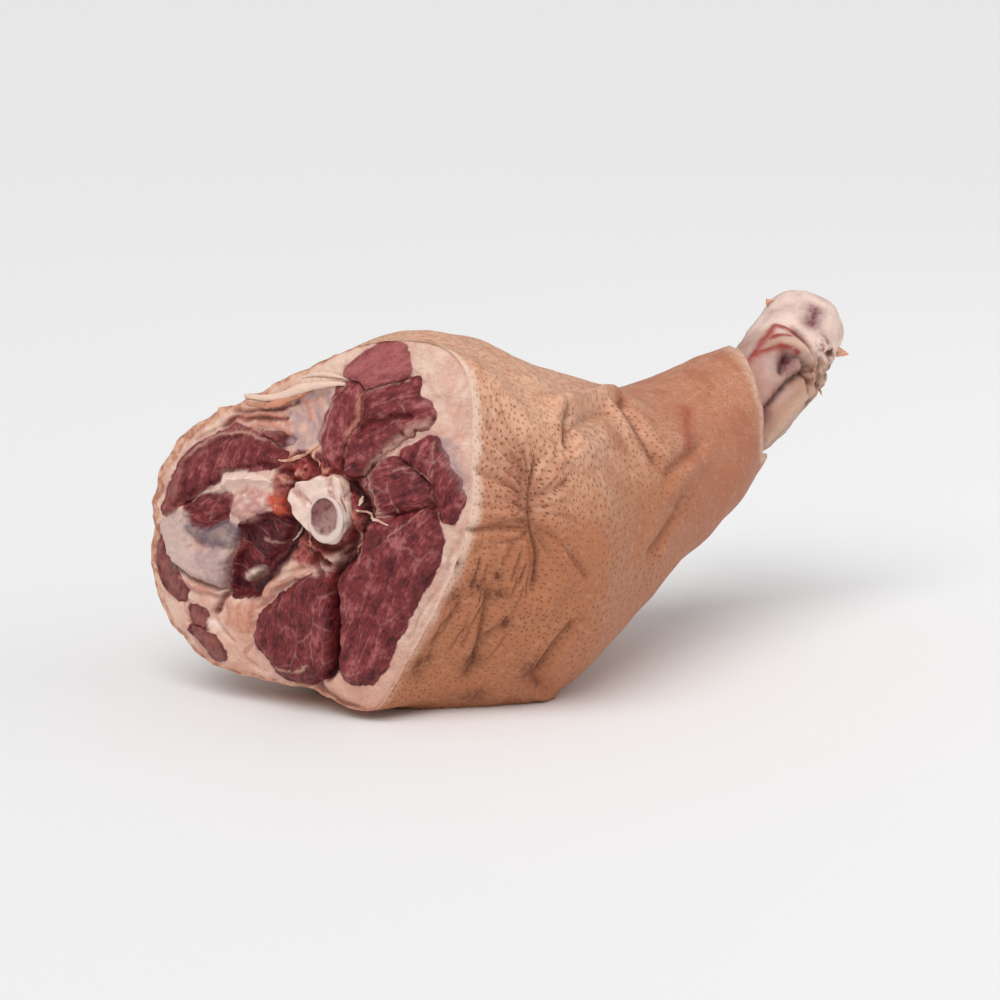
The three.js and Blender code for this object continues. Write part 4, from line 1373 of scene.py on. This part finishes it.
def build_fat_and_rind(context):
    """Rind over the leg, round the cuff's edge to the bone, back along the lean and over the cut fat."""
    settings = context.scene.pork_leg.rind
    sides = settings.sides
    angles = crowded(-math.pi, math.pi, sides + 1, *FINE_ROUND)[:-1]
    wave = cuff_reach(angles)
    torn = ragged(angles)
    skin, skin_fields = rind_skin(settings.rings, angles, wave, torn)
    inner = inner_rings(angles, wave)
    inner_fields = {"edge": np.repeat(np.arange(len(inner)) < len(CUFF_EDGE), sides).astype(float)}
    cut, cut_fields = fat_face(angles, torn)
    points = np.concatenate([skin, *inner, cut])
    rings = len(points) // sides
    finishes = named_materials(context)
    made = piece(
        "fat_and_rind",
        points,
        ring_quads(rings, sides, looped=True).tolist(),
        [finishes["rind"], finishes["cut face"]],
        joined([(skin_fields, len(skin)), (inner_fields, len(inner) * sides), (cut_fields, len(cut))]),
        np.repeat(np.arange(rings) > settings.rings + len(CUFF_EDGE), sides).astype(int),
    )
    settle(made, "fat_and_rind")


def disc_grid(count):
    """Even grid of places in a circle of 1, row by row."""
    line = np.linspace(-1, 1, count)
    u, v = (part.ravel() for part in np.meshgrid(line, line))
    steep = np.abs(v) > np.abs(u)
    radius = np.where(steep, v, u)
    ratio = np.where(steep, u, v) / np.where(np.abs(radius) < 1e-9, 1, radius)
    turn = np.where(steep, math.pi / 2 - math.pi / 4 * ratio, math.pi / 4 * ratio)
    return np.column_stack([radius * np.cos(turn), radius * np.sin(turn)])


def grid_border(count):
    """Numbers of a grid's points round its edge."""
    grid = np.arange(count * count).reshape(count, count)
    return np.concatenate([grid[0, :-1], grid[:-1, -1], grid[-1, :0:-1], grid[:0:-1, 0]])


def lean_walls(angles):
    """Rings of the lean along the fat and into the socket of the shank bone."""
    rings = []
    for share in np.linspace(WALL_START, LEAN_END - END_GAP, LEAN_WALL_RINGS):
        here = full_ring(share, angles)
        rings.append(leg_points(here, angles, fat_depth(here, angles) + CLEARANCE))
    for share in (SHANK_LEAN, 0):
        rings.append(shank_points(full_ring(share, angles), angles, CLEARANCE))
    return rings


def lean_faces(count, border, walls):
    """Quads of the face's grid and of the walls that go on from its border, and a fan to the tip."""
    row, column = np.meshgrid(np.arange(count - 1), np.arange(count - 1), indexing="ij")
    corner = (row * count + column).ravel()
    faces = np.stack([corner, corner + 1, corner + count + 1, corner + count], 1).tolist()
    side = count * count + np.arange(walls * len(border)).reshape(walls, -1)
    loops = np.concatenate([border[None], side])
    for first, second in zip(loops[:-1], loops[1:]):
        faces += np.stack([first, np.roll(first, -1), np.roll(second, -1), second], 1).tolist()
    last = loops[-1]
    tip = count * count + side.size
    return faces + [[int(a), int(b), tip] for a, b in zip(last, np.roll(last, -1))]


def build_lean(context):
    """The lean's cut face as a fine grid, its sides along the fat and its end round the shank bone."""
    count = context.scene.pork_leg.cut.grid
    disc = disc_grid(count)
    turn = np.arctan2(disc[:, 0], disc[:, 1])
    reach = leg_radius(np.zeros_like(turn), turn) - fat_depth(np.zeros_like(turn), turn) - CLEARANCE
    places = disc * reach[:, None]
    height, fields = face_fields(places)
    fields["hollow"] = hollows(height, (count, count))
    border = grid_border(count)
    walls = lean_walls(turn[border])
    tip = np.array([[SHANK_SECTIONS[0][0] - SHANK_SOCKET, *SHANK_SECTIONS[0][1:3]]])
    points = np.concatenate([butt_points(places, height), *walls, tip])
    faces = lean_faces(count, border, len(walls))
    fields = joined([(fields, len(places)), ({}, len(points) - len(places))])
    settle(piece("lean", points, faces, [named_materials(context)["cut face"]], fields), "lean")


def capped(points, rings, sides):
    """Quads between rings with a fan over both ends, and the points with the two middles."""
    ends = [points[:sides].mean(0), points[-sides:].mean(0)]
    faces = ring_quads(rings, sides).tolist()
    last = (rings - 1) * sides
    for side in range(sides):
        turn = (side + 1) % sides
        faces.append([turn, side, rings * sides])
        faces.append([last + side, last + turn, rings * sides + 1])
    return np.vstack([points, ends]), faces


def aitch_rows():
    """Rows of the aitch bone from root to marrow, and how far in: below 0 on the shaft, to 1 on the rim."""
    shaft = along_rows(AITCH_SECTIONS, np.linspace(0, 1, AITCH_SHAFT_RINGS))
    top = shaft[-1]
    hollow = np.array([MARROW[0], MARROW[1], top[2] - MARROW_DEPTH, MARROW[2], MARROW[3]])
    rim_shares, rim_heights = np.array(SAWN_RIM).T
    rim = mix(top, hollow, rim_shares[:, None])
    rim[:, 2] = top[2] + rim_heights
    bed_shares = np.array(MARROW_BED)
    bed = hollow * np.column_stack([np.ones((len(bed_shares), 3)), bed_shares, bed_shares])
    inward = np.concatenate([np.linspace(-10, 0, len(shaft)), rim_shares, 2 - bed_shares])
    return np.vstack([shaft, rim, bed]), inward


def aitch_ring(row, angles):
    """One ring of the aitch bone; the knob's outline shows between its neck and the sawn face."""
    across, up, height, wide, tall = row
    turn = np.column_stack([np.sin(angles), np.cos(angles)])
    plain = 1 / np.hypot(turn[:, 0] / wide, turn[:, 1] / tall)
    ellipse = np.array([across, up]) + plain[:, None] * turn
    outline = np.array(KNOB_MIDDLE) + around(KNOB_RADII, angles)[:, None] * turn
    knob = bell(height - KNOB_HEIGHT, KNOB_REACH) * smooth_drop(height, *KNOB_FADE)
    return butt_points(mix(ellipse, outline, knob), full_ring(height, angles))


def knob_clefts(points, turn, height):
    """How deep the red clefts cut into the knob, at points with their turn in degrees and their height."""
    cleft = np.zeros(len(points))
    for degrees, half in KNOB_CLEFTS:
        away = (turn - degrees + 180) % 360 - 180 + 8 * noise(points, 6, 34)
        cleft = np.maximum(cleft, bell(away, half) * smooth_drop(height, *CLEFT_END))
    return cleft


def build_aitch_bone(context):
    """Sawn bone in the cut face: a shaft in the lean, a white knob, the sawn rim and the sunken marrow."""
    sides = context.scene.pork_leg.bones.sides
    angles = np.arange(sides) / sides * FULL_TURN
    rows, inward = aitch_rows()
    points = np.concatenate([aitch_ring(row, angles) for row in rows])
    inward = np.repeat(inward, sides)
    height = np.repeat(rows[:, 2], sides)
    outward = points - np.repeat(butt_points(rows[:, :2], rows[:, 2]), sides, axis=0)
    reach = np.linalg.norm(outward, axis=1, keepdims=True)
    cleft = knob_clefts(points, np.tile(np.degrees(angles), len(rows)), height)
    swell = smooth_drop(inward, -1, 0) * (waves(points, KNOB_SWELLS) - 2.2 * cleft)
    points = points + outward / np.maximum(reach, 1e-6) * swell[:, None]
    rise = smooth_drop(height, *RELIEF_END) * smooth_step(height, *RELIEF_START)
    rise = rise * (waves(points, KNOB_RISES) - 1.6 * cleft)
    rise += (inward > 0.7) * 0.5 * noise(points, 3, 15)
    points = points - BUTT.along * rise[:, None]
    lower_right = (outward @ BUTT.near[0] - outward @ BUTT.upward[0]) / math.sqrt(2)
    fields = {
        "rim": smooth_step(height, *SAWN_START),
        "marrow": smooth_step(inward, 0.35, 1.25),
        "pale": smooth_step(lower_right, -6, 6),
        "blood": np.maximum(smooth_drop(height, *ROOT_BLOOD), 0.6 * cleft),
    }
    points, faces = capped(points, len(rows), sides)
    fields = joined([(fields, len(inward)), ({"marrow": np.array([0.0, 1.0])}, 2)])
    settle(piece("aitch_bone", points, faces, [named_materials(context)["aitch bone"]], fields), "aitch_bone")


def shank_distance(share, angle, tall, line):
    """Distance in millimetres over the shank to a line of (share of the bone, angle)."""
    path = smooth_line(line)
    shares = np.broadcast_to(path[:, 0] * SHANK_LENGTH, (len(share), len(path)))
    path_mm = np.stack([shares, np.radians(path[:, 1]) * tall[:, None]], -1)
    spots = np.stack([share * SHANK_LENGTH, angle * tall], -1)
    return segment_distance(spots, path_mm[:, :-1], path_mm[:, 1:])


def shank_patches(share, angle, tall, patches):
    """How strongly soft patches along lines show on the shank."""
    strength = np.zeros_like(share)
    for half, line in patches:
        strength = np.maximum(strength, bell(shank_distance(share, angle, tall, line), half))
    return strength


def hock_rag(share, angle):
    """How ragged the tissue round the hock is."""
    (first, last), (low, high) = HOCK_RAGGED
    margin, lead, fade = RAGGED_FADE
    degrees = np.degrees(angle)
    along = smooth_step(share, first - margin, first) * smooth_drop(share, last, last + margin)
    start = low - lead
    return along * smooth_step(degrees, start, start + fade) * smooth_drop(degrees, high, high + fade)


def shank_relief(share, angle, tall, plain):
    """How deep the shank lies under its plain form, where its colours show, and where painted shade darkens
    its furrows and the gaps of its ragged tissue.
    """
    depth, dark, tan, blood = np.zeros((4, len(share)))
    for deep, half, shade, line in SHANK_FURROWS:
        apart = shank_distance(share, angle, tall, line) + 0.8 * noise(plain, 4, 30)
        depth += deep * bell(apart, half)
        # Painted shade in the furrow
        dark = np.maximum(dark, shade * bell(apart, 0.6 * half))
    for high, half, line in SHANK_RIDGES:
        ridge = bell(shank_distance(share, angle, tall, line), half)
        depth -= high * ridge
        tan = np.maximum(tan, ridge)
    for half, line in SHANK_RED_LINES:
        apart = shank_distance(share, angle, tall, line) + noise(plain, 6, 24)
        red = bell(np.maximum(apart, 0), half)
        depth -= 0.8 * red
        blood = np.maximum(blood, red)
    rag = hock_rag(share, angle)
    lobes = noise(plain, 7, 17)
    depth -= waves(plain, SHANK_WAVES) + (0.7 + 2 * rag) * lobes
    # Painted shade in the gaps between the ragged lobes
    dark = np.maximum(dark, 0.9 * rag * smooth_step(-lobes, 0, 0.35))
    tendon = smooth_step(np.degrees(np.abs(angle)), *TENDON_ANGLES) * smooth_drop(share, *TENDON_SHARES)
    fields = {
        "tendon": tendon,
        "knob": smooth_step(share, *HOCK_KNOB),
        "ragged": rag,
        "tan": tan,
        "blood": blood,
        "dark": dark,
        "bruise": shank_patches(share, angle, tall, SHANK_BRUISES),
        "blush": shank_patches(share, angle, tall, SHANK_BLUSHES),
    }
    return depth, fields


def build_shank_bone(context):
    """Bared end of the shank: bone and tendon with furrows, and the rounded knob of the hock."""
    bones = context.scene.pork_leg.bones
    sides = bones.sides
    angles = (np.arange(sides) / sides - 0.5) * FULL_TURN
    share = np.repeat(np.linspace(0, 1, bones.shank_rings), sides)
    angle = np.tile(angles, bones.shank_rings)
    rows, along, _, _ = shank_frame(share)
    depth, fields = shank_relief(share, angle, rows[:, 4], shank_points(share, angle, 0))
    points = shank_points(share, angle, -depth)
    edge = points[-sides:]
    middle = along_rows(SHANK_SECTIONS, np.ones(1))[0, :3]
    for bend in np.linspace(0, math.pi / 2, SHANK_TIP_RINGS + 1)[1:-1]:
        ring = mix(middle, edge, math.cos(bend)) + along[-1] * SHANK_TIP * math.sin(bend)
        points = np.vstack([points, ring + along[-1] * (1.2 * noise(ring, 9, 18))[:, None]])
    points, faces = capped(points, len(points) // sides, sides)
    tip = len(points) - len(share)
    fields = joined([(fields, len(share)), ({"knob": np.ones(tip)}, tip)])
    settle(piece("shank_bone", points, faces, [named_materials(context)["shank bone"]], fields), "shank_bone")


def strand_tree():
    """Geometry nodes that sweep a flattened, wavering tube along each line of a mesh."""
    tree = bpy.data.node_groups.new("strands", "GeometryNodeTree")
    for name, kind in STRAND_INPUTS.items():
        tree.interface.new_socket(name, in_out="INPUT", socket_type=kind)
    tree.interface.new_socket("Geometry", in_out="OUTPUT", socket_type="NodeSocketGeometry")
    wire = Wire(tree)
    inputs = [wire.node("NodeGroupInput", output=number) for number in range(len(STRAND_INPUTS))]
    lines, flatness, wobble, seed, finish = inputs
    thick = wire.node("GeometryNodeInputNamedAttribute", {"data_type": "FLOAT"}, {"Name": "thick"})
    facing = wire.node("GeometryNodeInputNamedAttribute", {"data_type": "FLOAT_VECTOR"}, {"Name": "facing"})
    curve = wire.node("GeometryNodeMeshToCurve", None, {"Mesh": lines})
    curve = wire.node("GeometryNodeResampleCurve", None, {"Curve": curve, "Count": STRAND_STEPS})
    curve = wire.node("GeometryNodeSetCurveNormal", {"mode": "FREE"}, {"Curve": curve, "Normal": facing})
    ring = wire.node("GeometryNodeCurvePrimitiveCircle", None, {"Resolution": STRAND_SIDES, "Radius": 1.0})
    scale = wire.node("ShaderNodeCombineXYZ", None, {"X": flatness, "Y": 1.0, "Z": 1.0})
    ring = wire.node("GeometryNodeTransform", None, {"Geometry": ring, "Scale": scale})
    sweep = {"Curve": curve, "Profile Curve": ring, "Scale": thick, "Fill Caps": True}
    tube = wire.node("GeometryNodeCurveToMesh", None, sweep)
    sockets = {"W": seed, "Scale": STRAND_WAVES}
    waver = wire.node("ShaderNodeTexNoise", {"noise_dimensions": "4D"}, sockets, 1)
    shift = wire.node("ShaderNodeVectorMath", {"operation": "SUBTRACT"}, {0: waver, 1: (0.5, 0.5, 0.5)})
    shift = wire.node("ShaderNodeVectorMath", {"operation": "SCALE"}, {0: shift, "Scale": wobble})
    tube = wire.node("GeometryNodeSetPosition", None, {"Geometry": tube, "Offset": shift})
    tube = wire.node("GeometryNodeRealizeInstances", None, {"Geometry": tube})
    tube = wire.node("GeometryNodeSetMaterial", None, {"Geometry": tube, "Material": finish})
    wire.node("NodeGroupOutput", None, {"Geometry": tube})
    return tree


def strand_lines(name, rows):
    """Mesh of lines; each row has points in millimetres, three thicknesses along them, tone and facing."""
    points, edges, thick, tone, facing = [], [], [], [], []
    for line, girth, brown, outward in rows:
        path = smooth_line(line)
        first = len(points)
        share = np.linspace(0, 1, len(path))
        points += (path * MM).tolist()
        edges += [(first + i, first + i + 1) for i in range(len(path) - 1)]
        thick += (np.interp(share, (0, 0.5, 1), girth) * MM).tolist()
        tone += [brown] * len(path)
        facing += [list(outward)] * len(path)
    mesh = bpy.data.meshes.new(name)
    mesh.from_pydata(points, edges, [])
    mesh.attributes.new("thick", "FLOAT", "POINT").data.foreach_set("value", thick)
    mesh.attributes.new("tone", "FLOAT", "POINT").data.foreach_set("value", tone)
    mesh.attributes.new("facing", "FLOAT_VECTOR", "POINT").data.foreach_set("vector", np.ravel(facing))
    return mesh


def strands(context, name, rows):
    """Piece of wavering tubes along lines, as plain mesh."""
    loose = context.scene.pork_leg.loose
    tree = bpy.data.node_groups.get("strands") or strand_tree()
    made = bpy.data.objects.new(name, strand_lines(name, rows))
    context.scene.collection.objects.link(made)
    modifier = made.modifiers.new("strands", "NODES")
    modifier.node_group = tree
    values = {
        "Flatness": loose.flatness,
        "Wobble": loose.wobble,
        "Seed": float(loose.seed),
        "Material": named_materials(context)["loose tissue"],
    }
    for item in tree.interface.items_tree:
        if item.name in values:
            modifier[item.identifier] = values[item.name]
    graph = context.evaluated_depsgraph_get()
    plain = bpy.data.meshes.new_from_object(made.evaluated_get(graph))
    made.modifiers.clear()
    made.data = plain
    plain.shade_smooth()
    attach(made, "root")


def face_strand_rows():
    """Threads and the fat flap on the cut face, lifted in the middle."""
    rows = []
    for thick, brown, lift, line in FACE_STRANDS:
        places = smooth_line(line)
        height, _ = face_fields(places)
        share = np.linspace(0, 1, len(places))
        points = butt_points(places, height + lift * np.sin(math.pi * share) + 0.3 * thick)
        rows.append((points, (0.4 * thick, thick, 0.3 * thick), brown, -BUTT.along[0]))
    return rows


def hock_tag_rows():
    """Tags and ragged bits of tissue round the hock."""
    dice = np.random.default_rng(TAG_SEED)
    tags = list(HOCK_TAGS)
    count, longest = HOCK_BITS
    shares, degrees = HOCK_RAGGED
    for _ in range(count):
        root = (dice.uniform(*shares), dice.uniform(*degrees))
        tip = (root[0] + dice.uniform(-0.04, 0.04), root[1] + dice.uniform(-8, 8))
        long = dice.uniform(0.4, 1) * longest
        tags.append((dice.uniform(0.8, 1.8), dice.uniform(0.3, 0.9), long, root, tip))
    rows = []
    for thick, brown, long, root, tip in tags:
        share, angle = np.array([root, mix(np.array(root), np.array(tip), 0.5), tip]).T
        points = shank_points(share, np.radians(angle), np.array([-2, 0.5 * long, long]))
        rows.append((points, (1.2 * thick, 0.8 * thick, 0.15 * thick), brown, points[1] - points[0]))
    return rows


def build_loose_tissue(context):
    """Loose threads on the cut face and tags on the hock."""
    strands(context, "face_strands", face_strand_rows())
    strands(context, "hock_tags", hock_tag_rows())


def area_light(name, place, target, size, power):
    """Square light at a place, turned to a target."""
    light = bpy.data.lights.new(name, "AREA")
    light.size = size
    light.energy = power
    made = bpy.data.objects.new(name, light)
    made.location = place
    made.rotation_euler = (Vector(target) - Vector(place)).to_track_quat("-Z", "Y").to_euler()
    bpy.context.scene.collection.objects.link(made)


def sun_light(name, direction, strength):
    """Broad soft light from a direction."""
    light = bpy.data.lights.new(name, "SUN")
    light.energy = strength
    light.angle = math.radians(KEY_SPREAD)
    made = bpy.data.objects.new(name, light)
    made.rotation_euler = Vector(direction).to_track_quat("Z", "Y").to_euler()
    bpy.context.scene.collection.objects.link(made)


def build_floor(scene, stage):
    """Pale floor under the leg."""
    half = stage.floor_size / 2
    mesh = bpy.data.meshes.new("floor")
    corners = [(-half, -half, 0), (half, -half, 0), (half, half, 0), (-half, half, 0)]
    mesh.from_pydata(corners, [], [(0, 1, 2, 3)])
    mesh.materials.append(floor_material(stage))
    floor = bpy.data.objects.new("floor", mesh)
    scene.collection.objects.link(floor)


def build_camera(scene, stage):
    """Camera that looks at the target from the photo's side."""
    turn, rise = stage.azimuth, stage.elevation
    back = Vector((math.sin(turn) * math.cos(rise), -math.cos(turn) * math.cos(rise), math.sin(rise)))
    lens = bpy.data.cameras.new("camera")
    lens.lens = stage.lens
    camera = bpy.data.objects.new("camera", lens)
    camera.location = Vector(stage.target) + back * stage.distance
    camera.rotation_euler = (-back).to_track_quat("-Z", "Y").to_euler()
    scene.collection.objects.link(camera)
    scene.camera = camera


def build_light(scene, stage):
    """Soft key light, weak fill light and a white world, brighter where the camera sees it."""
    sun_light("key light", KEY_DIRECTION, stage.key_strength)
    area_light("fill light", FILL_PLACE, stage.target, FILL_SIZE, stage.fill_power)
    world = bpy.data.worlds.new("soft studio")
    world.use_nodes = True
    world.node_tree.nodes.clear()
    wire = Wire(world.node_tree)
    seen = wire.node("ShaderNodeLightPath")
    strength = seen * (stage.backdrop_strength - stage.sky_strength) + stage.sky_strength
    sky = wire.node("ShaderNodeBackground", None, {"Color": (1, 1, 1), "Strength": strength})
    wire.node("ShaderNodeOutputWorld", None, {"Surface": sky})
    scene.world = world
    scene.view_settings.view_transform = "Standard"


def build_stage(context):
    """Floor, camera and light."""
    stage = context.scene.pork_leg.stage
    build_floor(context.scene, stage)
    build_camera(context.scene, stage)
    build_light(context.scene, stage)


def colour_property(name, description, default):
    """A colour of three numbers."""
    return bpy.props.FloatVectorProperty(
        name=name, description=description, default=default, subtype="COLOR", size=3, min=0, max=1
    )


def count_property(name, description, default, least):
    """A whole number."""
    return bpy.props.IntProperty(name=name, description=description, default=default, min=least)


def length_property(name, description, default):
    """A length in metres."""
    return bpy.props.FloatProperty(name=name, description=description, default=default, unit="LENGTH")


def angle_property(name, description, degrees):
    """An angle, given in degrees."""
    default = math.radians(degrees)
    return bpy.props.FloatProperty(name=name, description=description, default=default, subtype="ANGLE")


def power_property(name, description, default):
    """A power in watts."""
    return bpy.props.FloatProperty(name=name, description=description, default=default, unit="POWER")


def number_property(name, description, default):
    """A plain number, 0 or more."""
    return bpy.props.FloatProperty(name=name, description=description, default=default, min=0)


class PORKLEG_PG_rind(bpy.types.PropertyGroup):
    """Sizes and colours of the rind."""

    rings: count_property("Rings", "Rings of the rind from rim to cuff", 225, 40)
    sides: count_property("Sides", "Points round the leg", 350, 60)
    pore_spacing: length_property("Pore spacing", "From one pore to the next", 0.0047)
    # The upper and lower colours are partly the rind's own tones, partly painted light and painted shade
    top_tone_and_light_colour: colour_property("Top colour", "Rind on the upper side", (0.76, 0.435, 0.29))
    low_tone_and_shade_colour: colour_property("Low colour", "Rind on the lower side", (0.455, 0.17, 0.075))
    flush_colour: colour_property("Flush colour", "Reddish patches", (0.41, 0.132, 0.066))
    streak_colour: colour_property("Streak colour", "Red streak by the cuff", (0.38, 0.08, 0.05))
    pore_colour: colour_property("Pore colour", "Pores of the rind", (0.27, 0.085, 0.036))
    # Painted shade at the bottom of creases, and also the colour of real stains
    crease_shade_and_stain_colour: colour_property("Crease colour", "Bottom of the creases and stains", (0.125, 0.027, 0.007))


class PORKLEG_PG_cut(bpy.types.PropertyGroup):
    """Sizes and colours of the cut face."""

    grid: count_property("Grid", "Points along a side of the face's grid", 281, 40)
    lean_colour: colour_property("Lean", "Lean meat", (0.2, 0.024, 0.028))
    dark_lean_colour: colour_property("Dark lean", "Deep red of the lean", (0.06, 0.004, 0.008))
    pale_lean_colour: colour_property("Pale lean", "Lean of the top lobe", (0.46, 0.13, 0.125))
    membrane_colour: colour_property("Membrane", "Thin tissue in the lean", (0.48, 0.22, 0.21))
    raw_colour: colour_property("Raw", "Red tissue round the bone", (0.36, 0.05, 0.048))
    salmon_colour: colour_property("Salmon", "Salmon lumps and streaks", (0.6, 0.23, 0.165))
    film_colour: colour_property("Film", "Brown-pink film over the lean", (0.38, 0.14, 0.115))
    fat_colour: colour_property("Fat", "Cream fat", (0.81, 0.58, 0.46))
    pink_fat_colour: colour_property("Pink fat", "Fat tinged with red", (0.72, 0.43, 0.335))
    orange_fat_colour: colour_property("Orange fat", "Fat tinged with orange", (0.64, 0.28, 0.17))
    silver_colour: colour_property("Silver skin", "Lavender silver skin", (0.44, 0.29, 0.295))
    cartilage_colour: colour_property("Cartilage", "Pale cartilage", (0.58, 0.41, 0.37))
    blue_colour: colour_property("Blue cartilage", "Blue-grey cartilage", (0.17, 0.115, 0.135))
    white_colour: colour_property("White", "White ribs of gristle", (0.86, 0.63, 0.54))
    blood_colour: colour_property("Blood", "Blood-red spots", (0.55, 0.085, 0.045))
    # Painted shade on the sides of the crevices
    crevice_shade_colour: colour_property("Crevice", "Sides of the crevices", (0.16, 0.02, 0.02))
    shadow_colour: colour_property("Shadow", "Bottom of the crevices", (0.035, 0.006, 0.008))


class PORKLEG_PG_bones(bpy.types.PropertyGroup):
    """Sizes and colours of the two bones."""

    sides: count_property("Sides", "Points round a bone", 144, 24)
    shank_rings: count_property("Shank rings", "Rings along the shank", 150, 20)
    white_colour: colour_property("White", "Bone and gristle", (0.82, 0.61, 0.53))
    cream_colour: colour_property("Cream", "Yellower bone", (0.74, 0.5, 0.38))
    rim_colour: colour_property("Rim", "Glassy sawn rim", (0.7, 0.55, 0.5))
    marrow_colour: colour_property("Marrow", "Marrow of the sawn bone", (0.24, 0.085, 0.078))
    pale_marrow_colour: colour_property("Pale marrow", "Greyer marrow", (0.36, 0.19, 0.175))
    dark_marrow_colour: colour_property("Dark marrow", "Red dots of the marrow", (0.1, 0.018, 0.02))
    lavender_colour: colour_property("Lavender", "Lavender gristle", (0.54, 0.37, 0.33))
    pink_colour: colour_property("Pink", "Reddish patch by the cuff", (0.48, 0.19, 0.15))
    bruise_colour: colour_property("Bruise", "Purple patch of the hock", (0.16, 0.035, 0.05))
    bare_colour: colour_property("Bare bone", "Lavender-tan side of the shank", (0.48, 0.28, 0.22))
    tendon_colour: colour_property("Tendon", "Tan tendon", (0.46, 0.25, 0.17))
    ligament_colour: colour_property("Ligament", "Cream-tan ligaments", (0.66, 0.42, 0.3))
    brown_colour: colour_property("Brown", "Ragged tissue round the hock", (0.28, 0.1, 0.055))
    red_colour: colour_property("Red", "Blood-red tissue", (0.33, 0.05, 0.035))
    shadow_colour: colour_property("Shadow", "Bottom of the furrows", (0.065, 0.012, 0.008))


class PORKLEG_PG_loose(bpy.types.PropertyGroup):
    """Form of the loose threads and tags."""

    flatness: number_property("Flatness", "Thickness over width", 0.45)
    wobble: length_property("Wobble", "How far they waver", 0.0016)
    seed: count_property("Seed", "Seed of the wavering", 3, 0)


class PORKLEG_PG_stage(bpy.types.PropertyGroup):
    """Camera, floor and light."""

    azimuth: angle_property("Azimuth", "Turn of the camera", -38)
    elevation: angle_property("Elevation", "Height of the camera", 12)
    distance: length_property("Distance", "Camera to target", 1.5)
    lens: number_property("Lens", "Focal length in millimetres", 85)
    target: bpy.props.FloatVectorProperty(
        name="Target",
        description="Where the camera looks",
        default=(-0.055, 0.007, 0.113),
        subtype="XYZ",
        size=3,
    )
    floor_size: length_property("Floor size", "Side of the floor", 120)
    floor_colour: colour_property("Floor", "Pale floor", (0.9, 0.9, 0.9))
    key_strength: number_property("Key", "Strength of the key light", 2.0)
    fill_power: power_property("Fill", "Power of the fill light", 12)
    backdrop_strength: number_property("Backdrop", "Brightness of the backdrop", 0.8)
    sky_strength: number_property("Sky", "Light from all round", 0.42)


class PORKLEG_PG_leg(bpy.types.PropertyGroup):
    """All settings of the leg."""

    rind: bpy.props.PointerProperty(type=PORKLEG_PG_rind)
    cut: bpy.props.PointerProperty(type=PORKLEG_PG_cut)
    bones: bpy.props.PointerProperty(type=PORKLEG_PG_bones)
    loose: bpy.props.PointerProperty(type=PORKLEG_PG_loose)
    stage: bpy.props.PointerProperty(type=PORKLEG_PG_stage)


class PORKLEG_OT_fat_and_rind(bpy.types.Operator):
    """Builds the rind with the fat under it."""

    bl_idname = "pork_leg.fat_and_rind"
    bl_label = "Fat and rind"

    def execute(self, context):
        build_fat_and_rind(context)
        return {"FINISHED"}


class PORKLEG_OT_lean(bpy.types.Operator):
    """Builds the lean with its cut face."""

    bl_idname = "pork_leg.lean"
    bl_label = "Lean"

    def execute(self, context):
        build_lean(context)
        return {"FINISHED"}


class PORKLEG_OT_bones(bpy.types.Operator):
    """Builds the aitch bone and the shank bone."""

    bl_idname = "pork_leg.bones"
    bl_label = "Bones"

    def execute(self, context):
        build_aitch_bone(context)
        build_shank_bone(context)
        return {"FINISHED"}


class PORKLEG_OT_loose_tissue(bpy.types.Operator):
    """Builds the loose threads and tags of tissue."""

    bl_idname = "pork_leg.loose_tissue"
    bl_label = "Loose tissue"

    def execute(self, context):
        build_loose_tissue(context)
        return {"FINISHED"}


class PORKLEG_OT_stage(bpy.types.Operator):
    """Sets up the floor, the lights and the camera."""

    bl_idname = "pork_leg.stage"
    bl_label = "Stage"

    def execute(self, context):
        build_stage(context)
        return {"FINISHED"}


OPERATORS = (
    PORKLEG_OT_fat_and_rind,
    PORKLEG_OT_lean,
    PORKLEG_OT_bones,
    PORKLEG_OT_loose_tissue,
    PORKLEG_OT_stage,
)


class PORKLEG_PT_panel(bpy.types.Panel):
    """Lists the steps of the leg."""

    bl_idname = "PORKLEG_PT_panel"
    bl_label = "Pork leg"
    bl_space_type = "VIEW_3D"
    bl_region_type = "UI"
    bl_category = "Pork leg"

    def draw(self, context):
        for operator in OPERATORS:
            self.layout.operator(operator.bl_idname)


CLASSES = (
    PORKLEG_PG_rind,
    PORKLEG_PG_cut,
    PORKLEG_PG_bones,
    PORKLEG_PG_loose,
    PORKLEG_PG_stage,
    PORKLEG_PG_leg,
    *OPERATORS,
    PORKLEG_PT_panel,
)


def register():
    """Adds the settings, the steps and the panel to Blender."""
    for kind in CLASSES:
        bpy.utils.register_class(kind)
    bpy.types.Scene.pork_leg = bpy.props.PointerProperty(type=PORKLEG_PG_leg)


def unregister():
    """Takes them out again."""
    del bpy.types.Scene.pork_leg
    for kind in reversed(CLASSES):
        bpy.utils.unregister_class(kind)


def main():
    """Builds the leg and its stage."""
    register()
    bpy.ops.pork_leg.fat_and_rind()
    bpy.ops.pork_leg.lean()
    bpy.ops.pork_leg.bones()
    bpy.ops.pork_leg.loose_tissue()
    bpy.ops.pork_leg.stage()


if __name__ == "__main__":
    main()
